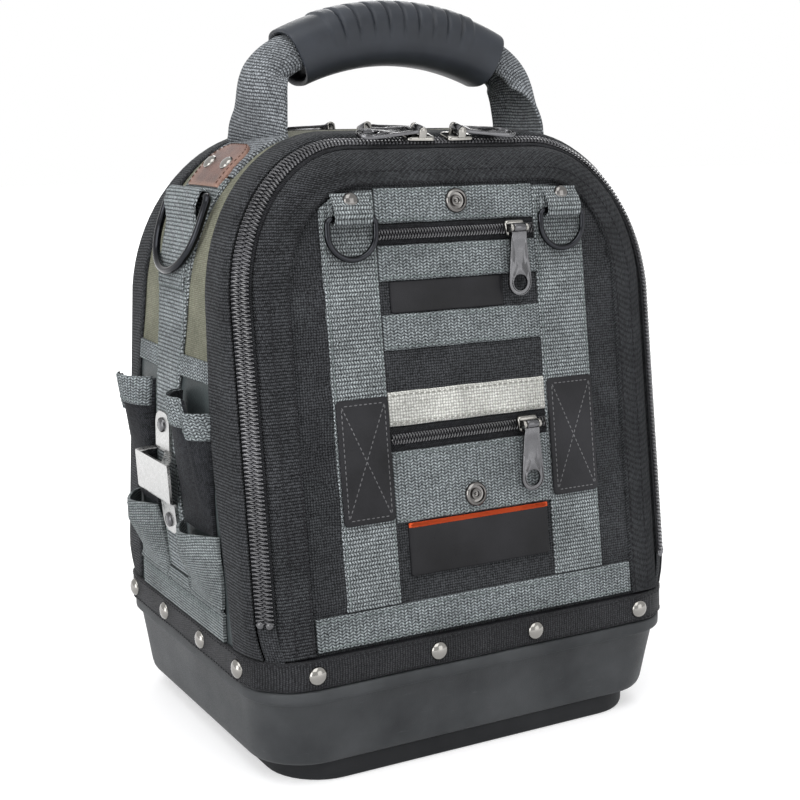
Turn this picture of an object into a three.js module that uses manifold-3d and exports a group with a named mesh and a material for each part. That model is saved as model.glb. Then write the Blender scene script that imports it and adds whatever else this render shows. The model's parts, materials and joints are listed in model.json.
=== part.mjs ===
// Upright zip-around tool bag: a moulded base tub, a fabric body shell, a zipped flap front and rear,
// a carrying handle, side pockets, D-rings and a steel tape clip. Millimetres, +Z up.
// The origin is the middle of the base's underside, the front faces -Y.
import * as THREE from 'three';
import { mergeVertices } from 'three/addons/utils/BufferGeometryUtils.js';
import Module from 'manifold-3d';

const wasm = await Module();
wasm.setup();

const { lerp, degToRad } = THREE.MathUtils;

// Clearances
const GAP = 0.3;
const POUCH_GAP = 0.6;
const PIN_PLAY = 0.4;

// Base tub
const FOOT_WIDTH = 222;
const FOOT_DEPTH = 190;
const FOOT_HEIGHT = 11;
const SHOULDER_HEIGHT = 5;
const SHOULDER_STEP = 2;
const TUB_INSET_X = 2;
const TUB_INSET_Y = -0.6;
const TUB_FLARE = 4;
const RIM_Z = 47;
const RIM_HEIGHT = 7;
const RIM_LIP = 2.5;
const RIM_CHAMFER = 1;
const TUB_WALL = 3;
const TUB_FLOOR = 4;
const TUB_CORNER = 30;
const CORNER_STEPS = 4;

// Body shell and trim band
const BODY_WIDTH = 257;
const BODY_TOP = 326.5;
const BODY_DEPTH = 203.8;
const SHELL_THICK = 4;
const ARCH_RADIUS_X = 72;
const ARCH_RADIUS_Z = 86;
const HEM_HEIGHT = 15.5;
const BAND_THICK = 1.8;
const RIVET_RADIUS = 5;
const RIVET_HEIGHT = 2.6;
const FRONT_RIVET_INNER = 30.2;
const FRONT_RIVET_END = 28.5;
const SIDE_RIVET_INNER = 26.4;
const SIDE_RIVET_END = 26.9;
const SIDE_SWELL = 6.5;
const SWELL_TOP = 260;
const FLAT_FACET = [112, 184];
const TOP_CROWN = 3;
const TAPE_THICK = 1.5;
const TAPE_WIDTH_SIDE = 19;
const TAPE_WIDTH_TOP = 14;

// Shares of a rivet head's radius and height that shape its dome
const DOME_SINK = 1;
const DOME_EDGE = 0.2;
const DOME_CROWN_RADIUS = 0.62;
const DOME_CROWN_HEIGHT = 0.8;
const DOME_SIDES = 8;

// Front and rear faces, which lean in towards the top
const FACE_SETBACK = 3.5;
const FACE_LEAN = 7.8;
const SHELL_BEHIND_ZIP_SIDE = 9.5;
const SHELL_BEHIND_ZIP_TOP = 6;

// Zips round the flaps
const ZIP_START_Z = 86;
const ZIP_INSET = 5.5;
const ZIP_BACK_SIDE = 2.5;
const ZIP_BACK_TOP = 13;
const ZIP_TILT_SIDE = 45;
const ZIP_TILT_TOP = 15;
const ZIP_HALF_WIDTH = 4.6;
const ZIP_THICK = 2.4;

// Flap panels
const PANEL_THICK = 10;
const LINING_THICK = 2.5;
const BINDING_THICK = 1.4;
// How far the panel's rings lie inside the arch and behind the face, at the sides and at the top
const PANEL_RINGS = [
  { side: [11.3, PANEL_THICK], top: [9.5, PANEL_THICK] },
  { side: [11.3, 5], top: [9.5, 9] },
  { side: [12.5, 1.6], top: [12, 4.2] },
  { side: [16, 0.3], top: [17, 1.4] },
  { side: [20, 0], top: [25, 0] },
];
const BINDING_INNER = { side: [30, 0], top: [27, 0] };

// Webbing on the front flap
const WEB_THICK = 1.6;
const STRAP_INNER = 48.2;
const STRAP_WIDTH = 31;
const STRAP_TOP_GAP = 1.3;
const BOTTOM_WEB_HEIGHT = 17;
const BOTTOM_WEB_GAP = 1;
const LOWER_WEB_HEIGHT = 36.4;
const LOWER_ZIP_HEIGHT = 12;
const REFLECTIVE_HEIGHT = 17.5;
const REFLECTIVE_DROP = 20.9;
const MIDDLE_WEB_HEIGHT = 18;
const MIDDLE_WEB_DROP = 16.9;
const UPPER_WEB_HEIGHT = 17.9;
const UPPER_ZIP_HEIGHT = 10.4;
const TOP_WEB_HEIGHT = 17.6;
const STRIP_GAP = 0.4;
const PATCH_TOP_DROP = 1.7;
const PATCH_HEIGHT = 63;
const PATCH_THICK = 1.4;
const PATCH_MARGIN = 0.8;
const SNAP_RADIUS = 6.5;
const SNAP_HEIGHT = 2;
const SNAP_TOP_RISE = 10.4;
const SNAP_LOWER_RISE = 9.5;
const POCKET_TAPE_THICK = 1;
const POCKET_CHAIN_WIDTH = 6;
const POCKET_CHAIN_RISE = 1.4;

// D-rings and their loops
const FRONT_RING = { half: 14, drop: 20.5, wire: 2, loop: 21, below: 13.5, lean: -3 };
const SIDE_RING = { half: 27.5, drop: 41, wire: 2.5, loop: 45, angle: 36, lean: 20 };
const LOOP_WALL = 1.9;
const LOOP_SINK = 0.5;
const LOOP_RIVET_RADIUS = 2.6;
const LOOP_RIVET_HEIGHT = 2;
const LOOP_RIVET_RISE = 8.6;
const LOOP_SEGMENTS = 10;
const RING_BEND = 3;
const RING_BEND_STEPS = 2;
const RING_BOW_STEPS = 10;
const RING_SIDES = 8;
const RING_ARM_SHARE = 0.35;

// Sliders and pulls
const MAIN_SLIDER = { alongPin: 11, across: 16, thick: 2.4 };
const MAIN_SLIDER_X = 12;
const POCKET_SLIDER = { alongPin: 13, across: 8.5, thick: 2.2 };
const POCKET_SLIDER_X = 34;
const PULL_LENGTH = 36;
const PULL_WIDTH = 14;
const PULL_NECK = 7;
const PULL_SHANK = 5;
const PULL_SEGMENTS = 7;
const PULL_THICK = 1.8;
const PULL_HOLE = 4;
const PULL_BARREL = 2.4;
const PULL_LEAN = 4.3;
const PIN_RADIUS = 1.1;
const POST_THICK = 1.8;
const POST_HALF = 1.6;
const POST_CAP = 0.8;
const PIN_SIDES = 8;
const SLIDER_CHAMFER = 2;

// Side straps, leather patches and tape clip
const SIDE_STRAP_WIDTH = 50;
const SIDE_STRAP_NARROW = 30;
const SIDE_STRAP_FLARE = 7;
const STRAP_END_GAP = 3;
const LEATHER_ANGLES = [43, 56, 68];
const LEATHER_TAPE_GAP = 7.7;
const LEATHER_THICK = 2.2;
const CLIP_THICK = 1.5;
const CLIP_WIDTH = 48;
const CLIP_STANDOFF = 7;
const CLIP_TONGUE_WIDTH = 20;
const CLIP_TOP_DROP = 3;
const CLIP_HEIGHT = 66;
const CLIP_BOX_DROP = 24;
const CLIP_BOX_HEIGHT = 21;
const CLIP_JOG = 3;
const CLIP_SCREW_RADIUS = 4;
const CLIP_SCREW_HEIGHT = 1.8;
const CLIP_SCREW_INSET = 7;

// Side pockets
const POCKET_WALL = 1.8;
const UPPER_POCKET_NEAR = 20;
const UPPER_POCKET_TAPE_GAP = 2.8;
const UPPER_POCKET_SWELL = [0.5, 12];
const UPPER_POCKET_GRID = [5, 7];
const LOWER_POUCH_NEAR = 17;
const LOWER_POUCH_TAPE_GAP = 7.9;
const LOWER_POUCH_SWELL = 11;
const LOWER_POUCH_SHARES = [0, 0.15, 0.32, 0.5, 0.68, 0.85, 1];
const LOWER_POUCH_TOP = 125;
const LOWER_NOTCH_TOP = 92;

// Inside fittings
const DIVIDER_THICK = 4;
const DIVIDER_SIDE_GAP = 6.5;
const DIVIDER_FOOT_GAP = 6;
const DIVIDER_TOP_GAP = 26.5;
const DIVIDER_FLARE = 20;
const DIVIDER_SEGMENTS = 6;
const TOOL_POCKET_SIDE_GAP = 10;
const TOOL_POCKET_DEPTH = 18;
const TOOL_POCKET_Z = [12, 150];
const TOOL_POCKET_COUNT = 4;
const LINING_WIDTH = 190;
const LINING_SPAN = [84, 235];

// Handle
const GRIP_ARC_RADIUS = 146;
const GRIP_HALF_ANGLE = 25;
const GRIP_RISE = 51.5;
const GRIP_HALF_THICK = 17;
const GRIP_HALF_WIDTH = 18;
const GRIP_END_FLARE = 1.08;
const GRIP_FLARE_POWER = 6;
const GRIP_SQUARENESS = 0.75;
const GRIP_STEPS = 12;
const GRIP_SIDES = 14;
const HANDLE_STRAP_NECK = 32;
const HANDLE_STRAP_THICK = 2.4;
const HANDLE_STRAP_RISE = 16;
const HANDLE_STRAP_STEPS = 9;

// Sizes that follow from the ones above
const HALF_WIDTH = BODY_WIDTH / 2;
const HALF_DEPTH = BODY_DEPTH / 2;
const FRONT_RIVETS = [FRONT_RIVET_INNER, HALF_WIDTH - FRONT_RIVET_END];
const SIDE_RIVETS = [SIDE_RIVET_INNER, HALF_DEPTH - SIDE_RIVET_END];
const HEM_BOTTOM = RIM_Z + RIM_HEIGHT + GAP;
const HEM_TOP = HEM_BOTTOM + HEM_HEIGHT;
const FLAP_Z = HEM_TOP + 2 * GAP;
const ARCH_X = HALF_WIDTH - ARCH_RADIUS_X;
const ARCH_Z = BODY_TOP - ARCH_RADIUS_Z;
const LEAN = degToRad(FACE_LEAN);
const FACE_Y = HALF_DEPTH - FACE_SETBACK;
const WEB_FACE = GAP + WEB_THICK;
const SHELL_BACK_SIDE = ZIP_BACK_SIDE + SHELL_BEHIND_ZIP_SIDE;
const SHELL_BACK_TOP = ZIP_BACK_TOP + SHELL_BEHIND_ZIP_TOP;
const TUB_INSIDE_X = FOOT_WIDTH / 2 - TUB_WALL;
const UPPER_FACET_Z = (FLAT_FACET[1] + ARCH_Z) / 2;
const UPPER_POCKET_FAR = tapeInnerY(FLAT_FACET[1]) - UPPER_POCKET_TAPE_GAP;
const LOWER_POUCH_FAR = tapeInnerY(LOWER_POUCH_TOP) - LOWER_POUCH_TAPE_GAP;
const SIDE_LEVELS = [FLAP_Z, ZIP_START_Z, ...FLAT_FACET, UPPER_FACET_Z, ARCH_Z];
const STRAP_ANGLES = [SIDE_RING.angle / 2, SIDE_RING.angle, LEATHER_ANGLES[0] - STRAP_END_GAP];
const ARCH_ANGLES = [...STRAP_ANGLES, ...LEATHER_ANGLES, (LEATHER_ANGLES[2] + 90) / 2, 90];
const LEATHER_HALF = leatherHalf();
const GRIP_MIDDLE_Z = BODY_TOP + GRIP_RISE;

// The strips across the front, from the top web down to the bottom web
const TOP_WEB = spanBelow(strapTop(0), TOP_WEB_HEIGHT);
const UPPER_ZIP = spanBelow(TOP_WEB[0] - STRIP_GAP, UPPER_ZIP_HEIGHT);
const UPPER_WEB = spanBelow(UPPER_ZIP[0] - STRIP_GAP, UPPER_WEB_HEIGHT);
const MIDDLE_WEB = spanBelow(UPPER_WEB[0] - MIDDLE_WEB_DROP, MIDDLE_WEB_HEIGHT);
const REFLECTIVE = spanBelow(MIDDLE_WEB[0] - REFLECTIVE_DROP, REFLECTIVE_HEIGHT);
const LOWER_ZIP = spanBelow(REFLECTIVE[0] - STRIP_GAP, LOWER_ZIP_HEIGHT);
const LOWER_WEB = spanBelow(LOWER_ZIP[0] - STRIP_GAP, LOWER_WEB_HEIGHT);
const PATCH_SPAN = spanBelow(REFLECTIVE[1] - PATCH_TOP_DROP, PATCH_HEIGHT);
const BOTTOM_WEB = [FLAP_Z + 2 * GAP, FLAP_Z + 2 * GAP + BOTTOM_WEB_HEIGHT];
const CLIP_SPAN = spanBelow(FLAT_FACET[1] - CLIP_TOP_DROP, CLIP_HEIGHT);
const CLIP_BOX = spanBelow(CLIP_SPAN[1] - CLIP_BOX_DROP, CLIP_BOX_HEIGHT);
const FRONT_RING_Z = strapTop(STRAP_INNER + STRAP_WIDTH / 2) - FRONT_RING.below;

const COLOURS = {
  base: 0x444648,
  trim: 0x232427,
  olive: 0x787864,
  tape: 0x2a2a2c,
  zip: 0x1b1b1d,
  canvas: 0x303133,
  webbing: 0x7d8787,
  reflective: 0xdfdfd6,
  vinyl: 0x2e2e31,
  leather: 0x5c4238,
  steel: 0xd8d8d4,
  nickel: 0x9a9a98,
  gunmetal: 0x4a4a4c,
  lining: 0x6d6b52,
  board: 0x3a3a3a,
  rubber: 0x2f2f31,
};

function vec(x, y, z) {
  return new THREE.Vector3(x, y, z);
}

// Closed solids from points and triangles, from stacks of rings and from pairs of grids

function solidFrom(points, triangles) {
  let volume = 0;
  for (let i = 0; i < triangles.length; i += 3) {
    const [a, b, c] = [points[triangles[i]], points[triangles[i + 1]], points[triangles[i + 2]]];
    volume += a.dot(b.clone().cross(c));
  }
  const geometry = new THREE.BufferGeometry();
  const flat = points.flatMap((point) => point.toArray());
  geometry.setAttribute('position', new THREE.Float32BufferAttribute(flat, 3));
  geometry.setIndex(volume > 0 ? triangles : triangles.slice().reverse());
  return geometry;
}

function loft(rings, closed = false) {
  const count = rings[0].length;
  const points = rings.flat();
  const triangles = [];
  const joins = closed ? rings.length : rings.length - 1;
  for (let r = 0; r < joins; r++) {
    const base = r * count;
    const next = ((r + 1) % rings.length) * count;
    for (let k = 0; k < count; k++) {
      const m = (k + 1) % count;
      triangles.push(base + k, base + m, next + m, base + k, next + m, next + k);
    }
  }
  if (!closed) {
    const last = (rings.length - 1) * count;
    const start = points.push(centreOf(rings[0])) - 1;
    const end = points.push(centreOf(rings[rings.length - 1])) - 1;
    for (let k = 0; k < count; k++) {
      const m = (k + 1) % count;
      triangles.push(start, m, k, end, last + k, last + m);
    }
  }
  return solidFrom(points, triangles);
}

function centreOf(ring) {
  const sum = ring.reduce((total, point) => total.add(point), vec(0, 0, 0));
  return sum.divideScalar(ring.length);
}

function slab(outer, inner) {
  const rows = outer.length;
  const cols = outer[0].length;
  const points = [...outer.flat(), ...inner.flat()];
  const triangles = [];
  const at = (layer, i, j) => layer * rows * cols + i * cols + j;
  const quad = (a, b, c, d) => triangles.push(a, b, c, a, c, d);
  for (let i = 0; i < rows - 1; i++) {
    for (let j = 0; j < cols - 1; j++) {
      quad(at(0, i, j), at(0, i, j + 1), at(0, i + 1, j + 1), at(0, i + 1, j));
      quad(at(1, i, j), at(1, i + 1, j), at(1, i + 1, j + 1), at(1, i, j + 1));
    }
    quad(at(0, i, 0), at(0, i + 1, 0), at(1, i + 1, 0), at(1, i, 0));
    quad(at(0, i, cols - 1), at(1, i, cols - 1), at(1, i + 1, cols - 1), at(0, i + 1, cols - 1));
  }
  for (let j = 0; j < cols - 1; j++) {
    const end = rows - 1;
    quad(at(0, 0, j), at(1, 0, j), at(1, 0, j + 1), at(0, 0, j + 1));
    quad(at(0, end, j), at(0, end, j + 1), at(1, end, j + 1), at(1, end, j));
  }
  return solidFrom(points, triangles);
}

function block(x, y, z) {
  const box = new THREE.BoxGeometry(x[1] - x[0], y[1] - y[0], z[1] - z[0]);
  return box.translate((x[0] + x[1]) / 2, (y[0] + y[1]) / 2, (z[0] + z[1]) / 2);
}

function manifoldOf(geometry) {
  const bare = new THREE.BufferGeometry();
  bare.setAttribute('position', geometry.getAttribute('position'));
  bare.setIndex(geometry.getIndex());
  const merged = mergeVertices(bare, 1e-4);
  return new wasm.Manifold(new wasm.Mesh({
    numProp: 3,
    vertProperties: new Float32Array(merged.getAttribute('position').array),
    triVerts: new Uint32Array(merged.getIndex().array),
  }));
}

function geometryOf(manifold) {
  const mesh = manifold.getMesh();
  const geometry = new THREE.BufferGeometry();
  geometry.setAttribute('position', new THREE.Float32BufferAttribute(mesh.vertProperties, 3));
  geometry.setIndex(Array.from(mesh.triVerts));
  return geometry;
}

function join(first, ...others) {
  return geometryOf(others.reduce((sum, other) => sum.add(manifoldOf(other)), manifoldOf(first)));
}

function cut(first, ...tools) {
  return geometryOf(tools.reduce((rest, tool) => rest.subtract(manifoldOf(tool)), manifoldOf(first)));
}

function addPiece(group, name, geometry, colour, roughness = 0.85, metalness = 0) {
  const material = new THREE.MeshStandardMaterial({ color: colour, roughness, metalness });
  const mesh = new THREE.Mesh(geometry, material);
  mesh.name = name;
  group.add(mesh);
  return mesh;
}

// A domed rivet or screw head whose axis is +Z and whose seat is sunk a little
function domeHead(radius, height) {
  const profile = [
    new THREE.Vector2(0, -DOME_SINK),
    new THREE.Vector2(radius, -DOME_SINK),
    new THREE.Vector2(radius, height * DOME_EDGE),
    new THREE.Vector2(radius * DOME_CROWN_RADIUS, height * DOME_CROWN_HEIGHT),
    new THREE.Vector2(0, height),
  ];
  return new THREE.LatheGeometry(profile, DOME_SIDES).rotateX(Math.PI / 2);
}

function aimed(geometry, direction, position) {
  const turn = new THREE.Quaternion().setFromUnitVectors(vec(0, 0, 1), direction.clone().normalize());
  return geometry.applyQuaternion(turn).translate(position.x, position.y, position.z);
}

// A rounded rectangle as a ring of points at one height
function roundedRing(halfX, halfY, radius, z) {
  const ring = [];
  const corners = [[1, 1, 0], [-1, 1, 90], [-1, -1, 180], [1, -1, 270]];
  for (const [sx, sy, start] of corners) {
    for (let k = 0; k <= CORNER_STEPS; k++) {
      const angle = degToRad(start + (90 * k) / CORNER_STEPS);
      const x = sx * (halfX - radius) + radius * Math.cos(angle);
      const y = sy * (halfY - radius) + radius * Math.sin(angle);
      ring.push(vec(x, y, z));
    }
  }
  return ring;
}

// The arch that the body, the zips and the flaps share.
// A station is a level on a side or an angle on a corner.

function archStations(levels) {
  const half = [
    ...levels.map((z) => ({ angle: 0, z })),
    ...ARCH_ANGLES.map((angle) => ({ angle, z: 0 })),
  ];
  const left = half.map((station) => ({ ...station, side: -1 }));
  const right = half.map((station) => ({ ...station, side: 1 })).reverse();
  return [...left, ...right];
}

function archSpot(station, inset) {
  const angle = degToRad(station.angle);
  const x = ARCH_X + (ARCH_RADIUS_X - inset) * Math.cos(angle);
  const onSide = station.angle === 0;
  const z = onSide ? station.z : ARCH_Z + (ARCH_RADIUS_Z - inset) * Math.sin(angle);
  const normal = vec(Math.cos(angle) / ARCH_RADIUS_X, 0, Math.sin(angle) / ARCH_RADIUS_Z).normalize();
  normal.x *= station.side;
  return { x: station.side * x, z, normal, turn: station.angle / 90 };
}

// How far the leaning face stands from the middle of the bag at a height
function faceY(z) {
  return FACE_Y - Math.tan(LEAN) * (z - FLAP_Z);
}

// Where the edge tape ends on a side of the shell at a height
function tapeInnerY(z) {
  return faceY(z) - SHELL_BACK_SIDE - TAPE_WIDTH_SIDE;
}

// Half the width that the edge tapes leave for the leather patches on top of the arch
function leatherHalf() {
  const spot = archSpot({ angle: LEATHER_ANGLES[2], z: 0, side: 1 }, 0);
  return shellColumns(spot)[5] - LEATHER_TAPE_GAP;
}

// The height of the flap binding's inner edge at a distance from the middle
function bindingInnerZ(x) {
  const spots = ARCH_ANGLES.map((angle) => {
    const inset = lerp(BINDING_INNER.side[0], BINDING_INNER.top[0], angle / 90);
    return archSpot({ angle, z: 0, side: 1 }, inset);
  });
  const k = spots.findIndex((spot) => spot.x <= x);
  if (k < 0) {
    return spots[spots.length - 1].z;
  }
  const before = k > 0 ? spots[k - 1] : archSpot({ angle: 0, z: ARCH_Z, side: 1 }, BINDING_INNER.side[0]);
  return lerp(spots[k].z, before.z, (x - spots[k].x) / (before.x - spots[k].x));
}

function strapTop(x) {
  return bindingInnerZ(x) - STRAP_TOP_GAP;
}

function spanBelow(top, height) {
  return [top - height, top];
}

function shellColumns(spot) {
  const edge = faceY(spot.z) - lerp(SHELL_BACK_SIDE, SHELL_BACK_TOP, spot.turn);
  const inner = edge - lerp(TAPE_WIDTH_SIDE, TAPE_WIDTH_TOP, spot.turn);
  const strap = SIDE_STRAP_WIDTH / 2;
  return [-edge, -inner, -strap, 0, strap, inner, edge];
}

function shellSwell(spot, y) {
  const edge = shellColumns(spot)[6];
  const share = Math.min(Math.max((spot.z - FLAP_Z) / (SWELL_TOP - FLAP_Z), 0), 1);
  const side = SIDE_SWELL * Math.sin(Math.PI * share) ** 2 * (1 - (y / edge) ** 2);
  return side - TOP_CROWN * spot.turn * (y / edge) ** 2;
}

// A point on the faceted shell, lifted off it along its normal
function shellPoint(station, y, lift) {
  const spot = archSpot(station, 0);
  const columns = shellColumns(spot);
  const k = Math.max(0, columns.findLastIndex((value, i) => i < 6 && value <= y));
  const share = (y - columns[k]) / (columns[k + 1] - columns[k]);
  const swell = lerp(shellSwell(spot, columns[k]), shellSwell(spot, columns[k + 1]), share);
  return vec(spot.x, y, spot.z).addScaledVector(spot.normal, swell + lift);
}

// The same on a side at any height between two levels
function sidePoint(side, y, z, lift) {
  const k = Math.max(0, SIDE_LEVELS.findLastIndex((level, i) => i < SIDE_LEVELS.length - 1 && level <= z));
  const low = shellPoint({ angle: 0, z: SIDE_LEVELS[k], side }, y, lift);
  const high = shellPoint({ angle: 0, z: SIDE_LEVELS[k + 1], side }, y, lift);
  return low.lerp(high, (z - SIDE_LEVELS[k]) / (SIDE_LEVELS[k + 1] - SIDE_LEVELS[k]));
}

function zipFrame(station) {
  const spot = archSpot(station, ZIP_INSET);
  const tilt = degToRad(lerp(ZIP_TILT_SIDE, ZIP_TILT_TOP, spot.turn));
  const back = lerp(ZIP_BACK_SIDE, ZIP_BACK_TOP, spot.turn);
  const front = vec(0, -1, 0);
  return {
    centre: vec(spot.x, back - faceY(spot.z), spot.z),
    face: spot.normal.clone().multiplyScalar(Math.cos(tilt)).addScaledVector(front, Math.sin(tilt)),
    toFlap: spot.normal.clone().multiplyScalar(-Math.sin(tilt)).addScaledVector(front, Math.cos(tilt)),
  };
}

// Base tub, hem, trim band and shell

function makeTub() {
  const halfX = HALF_WIDTH - TUB_INSET_X;
  const halfY = HALF_DEPTH - TUB_INSET_Y;
  const wallX = HALF_WIDTH - SHELL_THICK - GAP;
  const wallY = HALF_DEPTH - SHELL_THICK - GAP;
  const footX = FOOT_WIDTH / 2;
  const footY = FOOT_DEPTH / 2;
  const lowX = halfX - TUB_FLARE - SHOULDER_STEP;
  const lowY = halfY - TUB_FLARE - SHOULDER_STEP;
  const shoulder = FOOT_HEIGHT + SHOULDER_HEIGHT;
  const wallCorner = TUB_CORNER - SHELL_THICK;
  const outer = [
    roundedRing(footX, footY, TUB_CORNER, 0),
    roundedRing(footX, footY, TUB_CORNER, FOOT_HEIGHT),
    roundedRing(lowX, lowY, TUB_CORNER, FOOT_HEIGHT + RIM_CHAMFER / 2),
    roundedRing(lowX + SHOULDER_STEP, lowY + SHOULDER_STEP, TUB_CORNER, shoulder),
    roundedRing(halfX, halfY, TUB_CORNER, RIM_Z),
    roundedRing(halfX + RIM_LIP, halfY + RIM_LIP, TUB_CORNER, RIM_Z + RIM_CHAMFER),
    roundedRing(halfX + RIM_LIP, halfY + RIM_LIP, TUB_CORNER, RIM_Z + RIM_HEIGHT),
    roundedRing(wallX, wallY, wallCorner, RIM_Z + RIM_HEIGHT),
    roundedRing(wallX, wallY, wallCorner, HEM_TOP),
  ];
  const inner = [
    roundedRing(wallX - TUB_WALL, wallY - TUB_WALL, wallCorner - TUB_WALL, HEM_TOP),
    roundedRing(wallX - TUB_WALL, wallY - TUB_WALL, wallCorner - TUB_WALL, RIM_Z),
    roundedRing(lowX - TUB_WALL, lowY - TUB_WALL, TUB_CORNER - TUB_WALL, shoulder),
    roundedRing(footX - TUB_WALL, footY - TUB_WALL, TUB_CORNER - TUB_WALL, FOOT_HEIGHT + TUB_WALL),
    roundedRing(footX - TUB_WALL, footY - TUB_WALL, TUB_CORNER - TUB_WALL, TUB_FLOOR),
  ];
  return loft([...outer, ...inner]);
}

function ringWall(halfX, halfY, radius, thick, low, high) {
  return loft([
    roundedRing(halfX, halfY, radius, low),
    roundedRing(halfX, halfY, radius, high),
    roundedRing(halfX - thick, halfY - thick, radius - thick, high),
    roundedRing(halfX - thick, halfY - thick, radius - thick, low),
  ], true);
}

function makeBand() {
  const grow = GAP + BAND_THICK;
  const halfX = HALF_WIDTH + grow;
  const halfY = HALF_DEPTH + grow;
  const middle = (HEM_BOTTOM + HEM_TOP) / 2;
  const rivet = (outward, seat) => aimed(domeHead(RIVET_RADIUS, RIVET_HEIGHT), outward, seat);
  const heads = [];
  for (const sign of [-1, 1]) {
    for (const turn of [-1, 1]) {
      for (const x of FRONT_RIVETS) {
        heads.push(rivet(vec(0, turn, 0), vec(sign * x, turn * halfY, middle)));
      }
      for (const y of SIDE_RIVETS) {
        heads.push(rivet(vec(sign, 0, 0), vec(sign * halfX, turn * y, middle)));
      }
    }
  }
  return join(ringWall(halfX, halfY, TUB_CORNER, BAND_THICK, HEM_BOTTOM, HEM_TOP), ...heads);
}

function makeShell() {
  const stations = archStations([(HEM_BOTTOM + HEM_TOP) / 2, ...SIDE_LEVELS]);
  const sheet = (lift) => stations.map((station) => {
    const columns = shellColumns(archSpot(station, 0));
    return columns.map((y) => shellPoint(station, y, lift));
  });
  const arch = slab(sheet(0), sheet(-SHELL_THICK));
  const hem = ringWall(HALF_WIDTH, HALF_DEPTH, TUB_CORNER - BAND_THICK, SHELL_THICK, HEM_BOTTOM, HEM_TOP);
  const bandRoom = cut(
    block([-BODY_WIDTH, BODY_WIDTH], [-BODY_DEPTH, BODY_DEPTH], [0, FLAP_Z - GAP]),
    loft([
      roundedRing(HALF_WIDTH, HALF_DEPTH, TUB_CORNER - BAND_THICK, -1),
      roundedRing(HALF_WIDTH, HALF_DEPTH, TUB_CORNER - BAND_THICK, FLAP_Z),
    ]),
  );
  return cut(join(arch, hem), bandRoom);
}

function makeEdgeTape() {
  const rows = archStations(SIDE_LEVELS).map((station) => {
    const frame = zipFrame(station);
    const seam = frame.centre.clone().addScaledVector(frame.toFlap, -(ZIP_HALF_WIDTH + 2 * GAP));
    const columns = shellColumns(archSpot(station, 0));
    const place = (lift) => [
      seam.clone().addScaledVector(frame.face, lift - TAPE_THICK / 2),
      shellPoint(station, columns[0], GAP + lift),
      shellPoint(station, columns[1], GAP + lift),
    ];
    return { inner: place(0), outer: place(TAPE_THICK) };
  });
  return slab(rows.map((row) => row.outer), rows.map((row) => row.inner));
}

function makeZipHalf(sign) {
  const levels = SIDE_LEVELS.slice(1);
  const rings = archStations(levels).map((station) => {
    const { centre, face, toFlap } = zipFrame(station);
    const near = sign * (GAP / 2);
    const far = sign * (GAP / 2 + ZIP_HALF_WIDTH);
    const corner = (across, lift) => (
      centre.clone().addScaledVector(toFlap, across).addScaledVector(face, lift)
    );
    const rise = ZIP_THICK / 2;
    return [corner(near, -rise), corner(near, rise), corner(far, rise), corner(far, -rise)];
  });
  return loft(rings);
}

// Flap pieces, in a frame that leans with the face: x along it, y into the bag, z up the face

function upFace(z) {
  return (z - FLAP_Z) / Math.cos(LEAN);
}

function flapFrame() {
  const frame = new THREE.Group();
  frame.position.set(0, -FACE_Y, FLAP_Z);
  frame.rotation.x = -LEAN;
  return frame;
}

function flapPoint(station, ring, lift = 0, lean = 0) {
  const turn = station.angle / 90;
  const inset = lerp(ring.side[0], ring.top[0], turn);
  const depth = lerp(ring.side[1], ring.top[1], turn);
  const spot = archSpot(station, inset);
  const point = vec(spot.x, depth, upFace(spot.z) + depth * Math.tan(LEAN));
  return point.addScaledVector(spot.normal, lift * lean).add(vec(0, -lift * Math.sqrt(1 - lean * lean), 0));
}

function makePanel() {
  const stations = archStations(SIDE_LEVELS);
  return loft(PANEL_RINGS.map((ring) => stations.map((station) => flapPoint(station, ring))));
}

function makeBinding() {
  const columns = [
    { ring: PANEL_RINGS[2], lean: 0.6 },
    { ring: PANEL_RINGS[3], lean: 0.15 },
    { ring: PANEL_RINGS[4], lean: 0 },
    { ring: BINDING_INNER, lean: 0 },
  ];
  const grid = (lift) => archStations(SIDE_LEVELS).map((station) => (
    columns.map(({ ring, lean }) => flapPoint(station, ring, lift, lean))
  ));
  return slab(grid(GAP + BINDING_THICK), grid(GAP));
}

function facePlate(x, z, layer, thick) {
  return block(x, [-layer - thick, -layer], [upFace(z[0]), upFace(z[1])]);
}

function faceOutline(corners, layer, thick) {
  const shape = new THREE.Shape(corners.map(([x, z]) => new THREE.Vector2(x, upFace(z))));
  const plate = new THREE.ExtrudeGeometry(shape, { depth: thick, bevelEnabled: false });
  return plate.rotateX(Math.PI / 2).translate(0, -layer, 0);
}

// A round loop of webbing along x, whose bore holds a ring's bar
function loopTube(ring) {
  const bore = ring.wire + PIN_PLAY;
  const turned = new THREE.Shape().absarc(0, 0, bore + LOOP_WALL, 0, 2 * Math.PI);
  turned.holes.push(new THREE.Path().absarc(0, 0, bore, 0, 2 * Math.PI, true));
  const tube = new THREE.ExtrudeGeometry(turned, {
    depth: ring.loop,
    bevelEnabled: false,
    curveSegments: LOOP_SEGMENTS,
  });
  return tube.translate(0, 0, -ring.loop / 2).rotateY(Math.PI / 2);
}

function loopLift(ring) {
  return ring.wire + PIN_PLAY + LOOP_WALL - LOOP_SINK;
}

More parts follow.
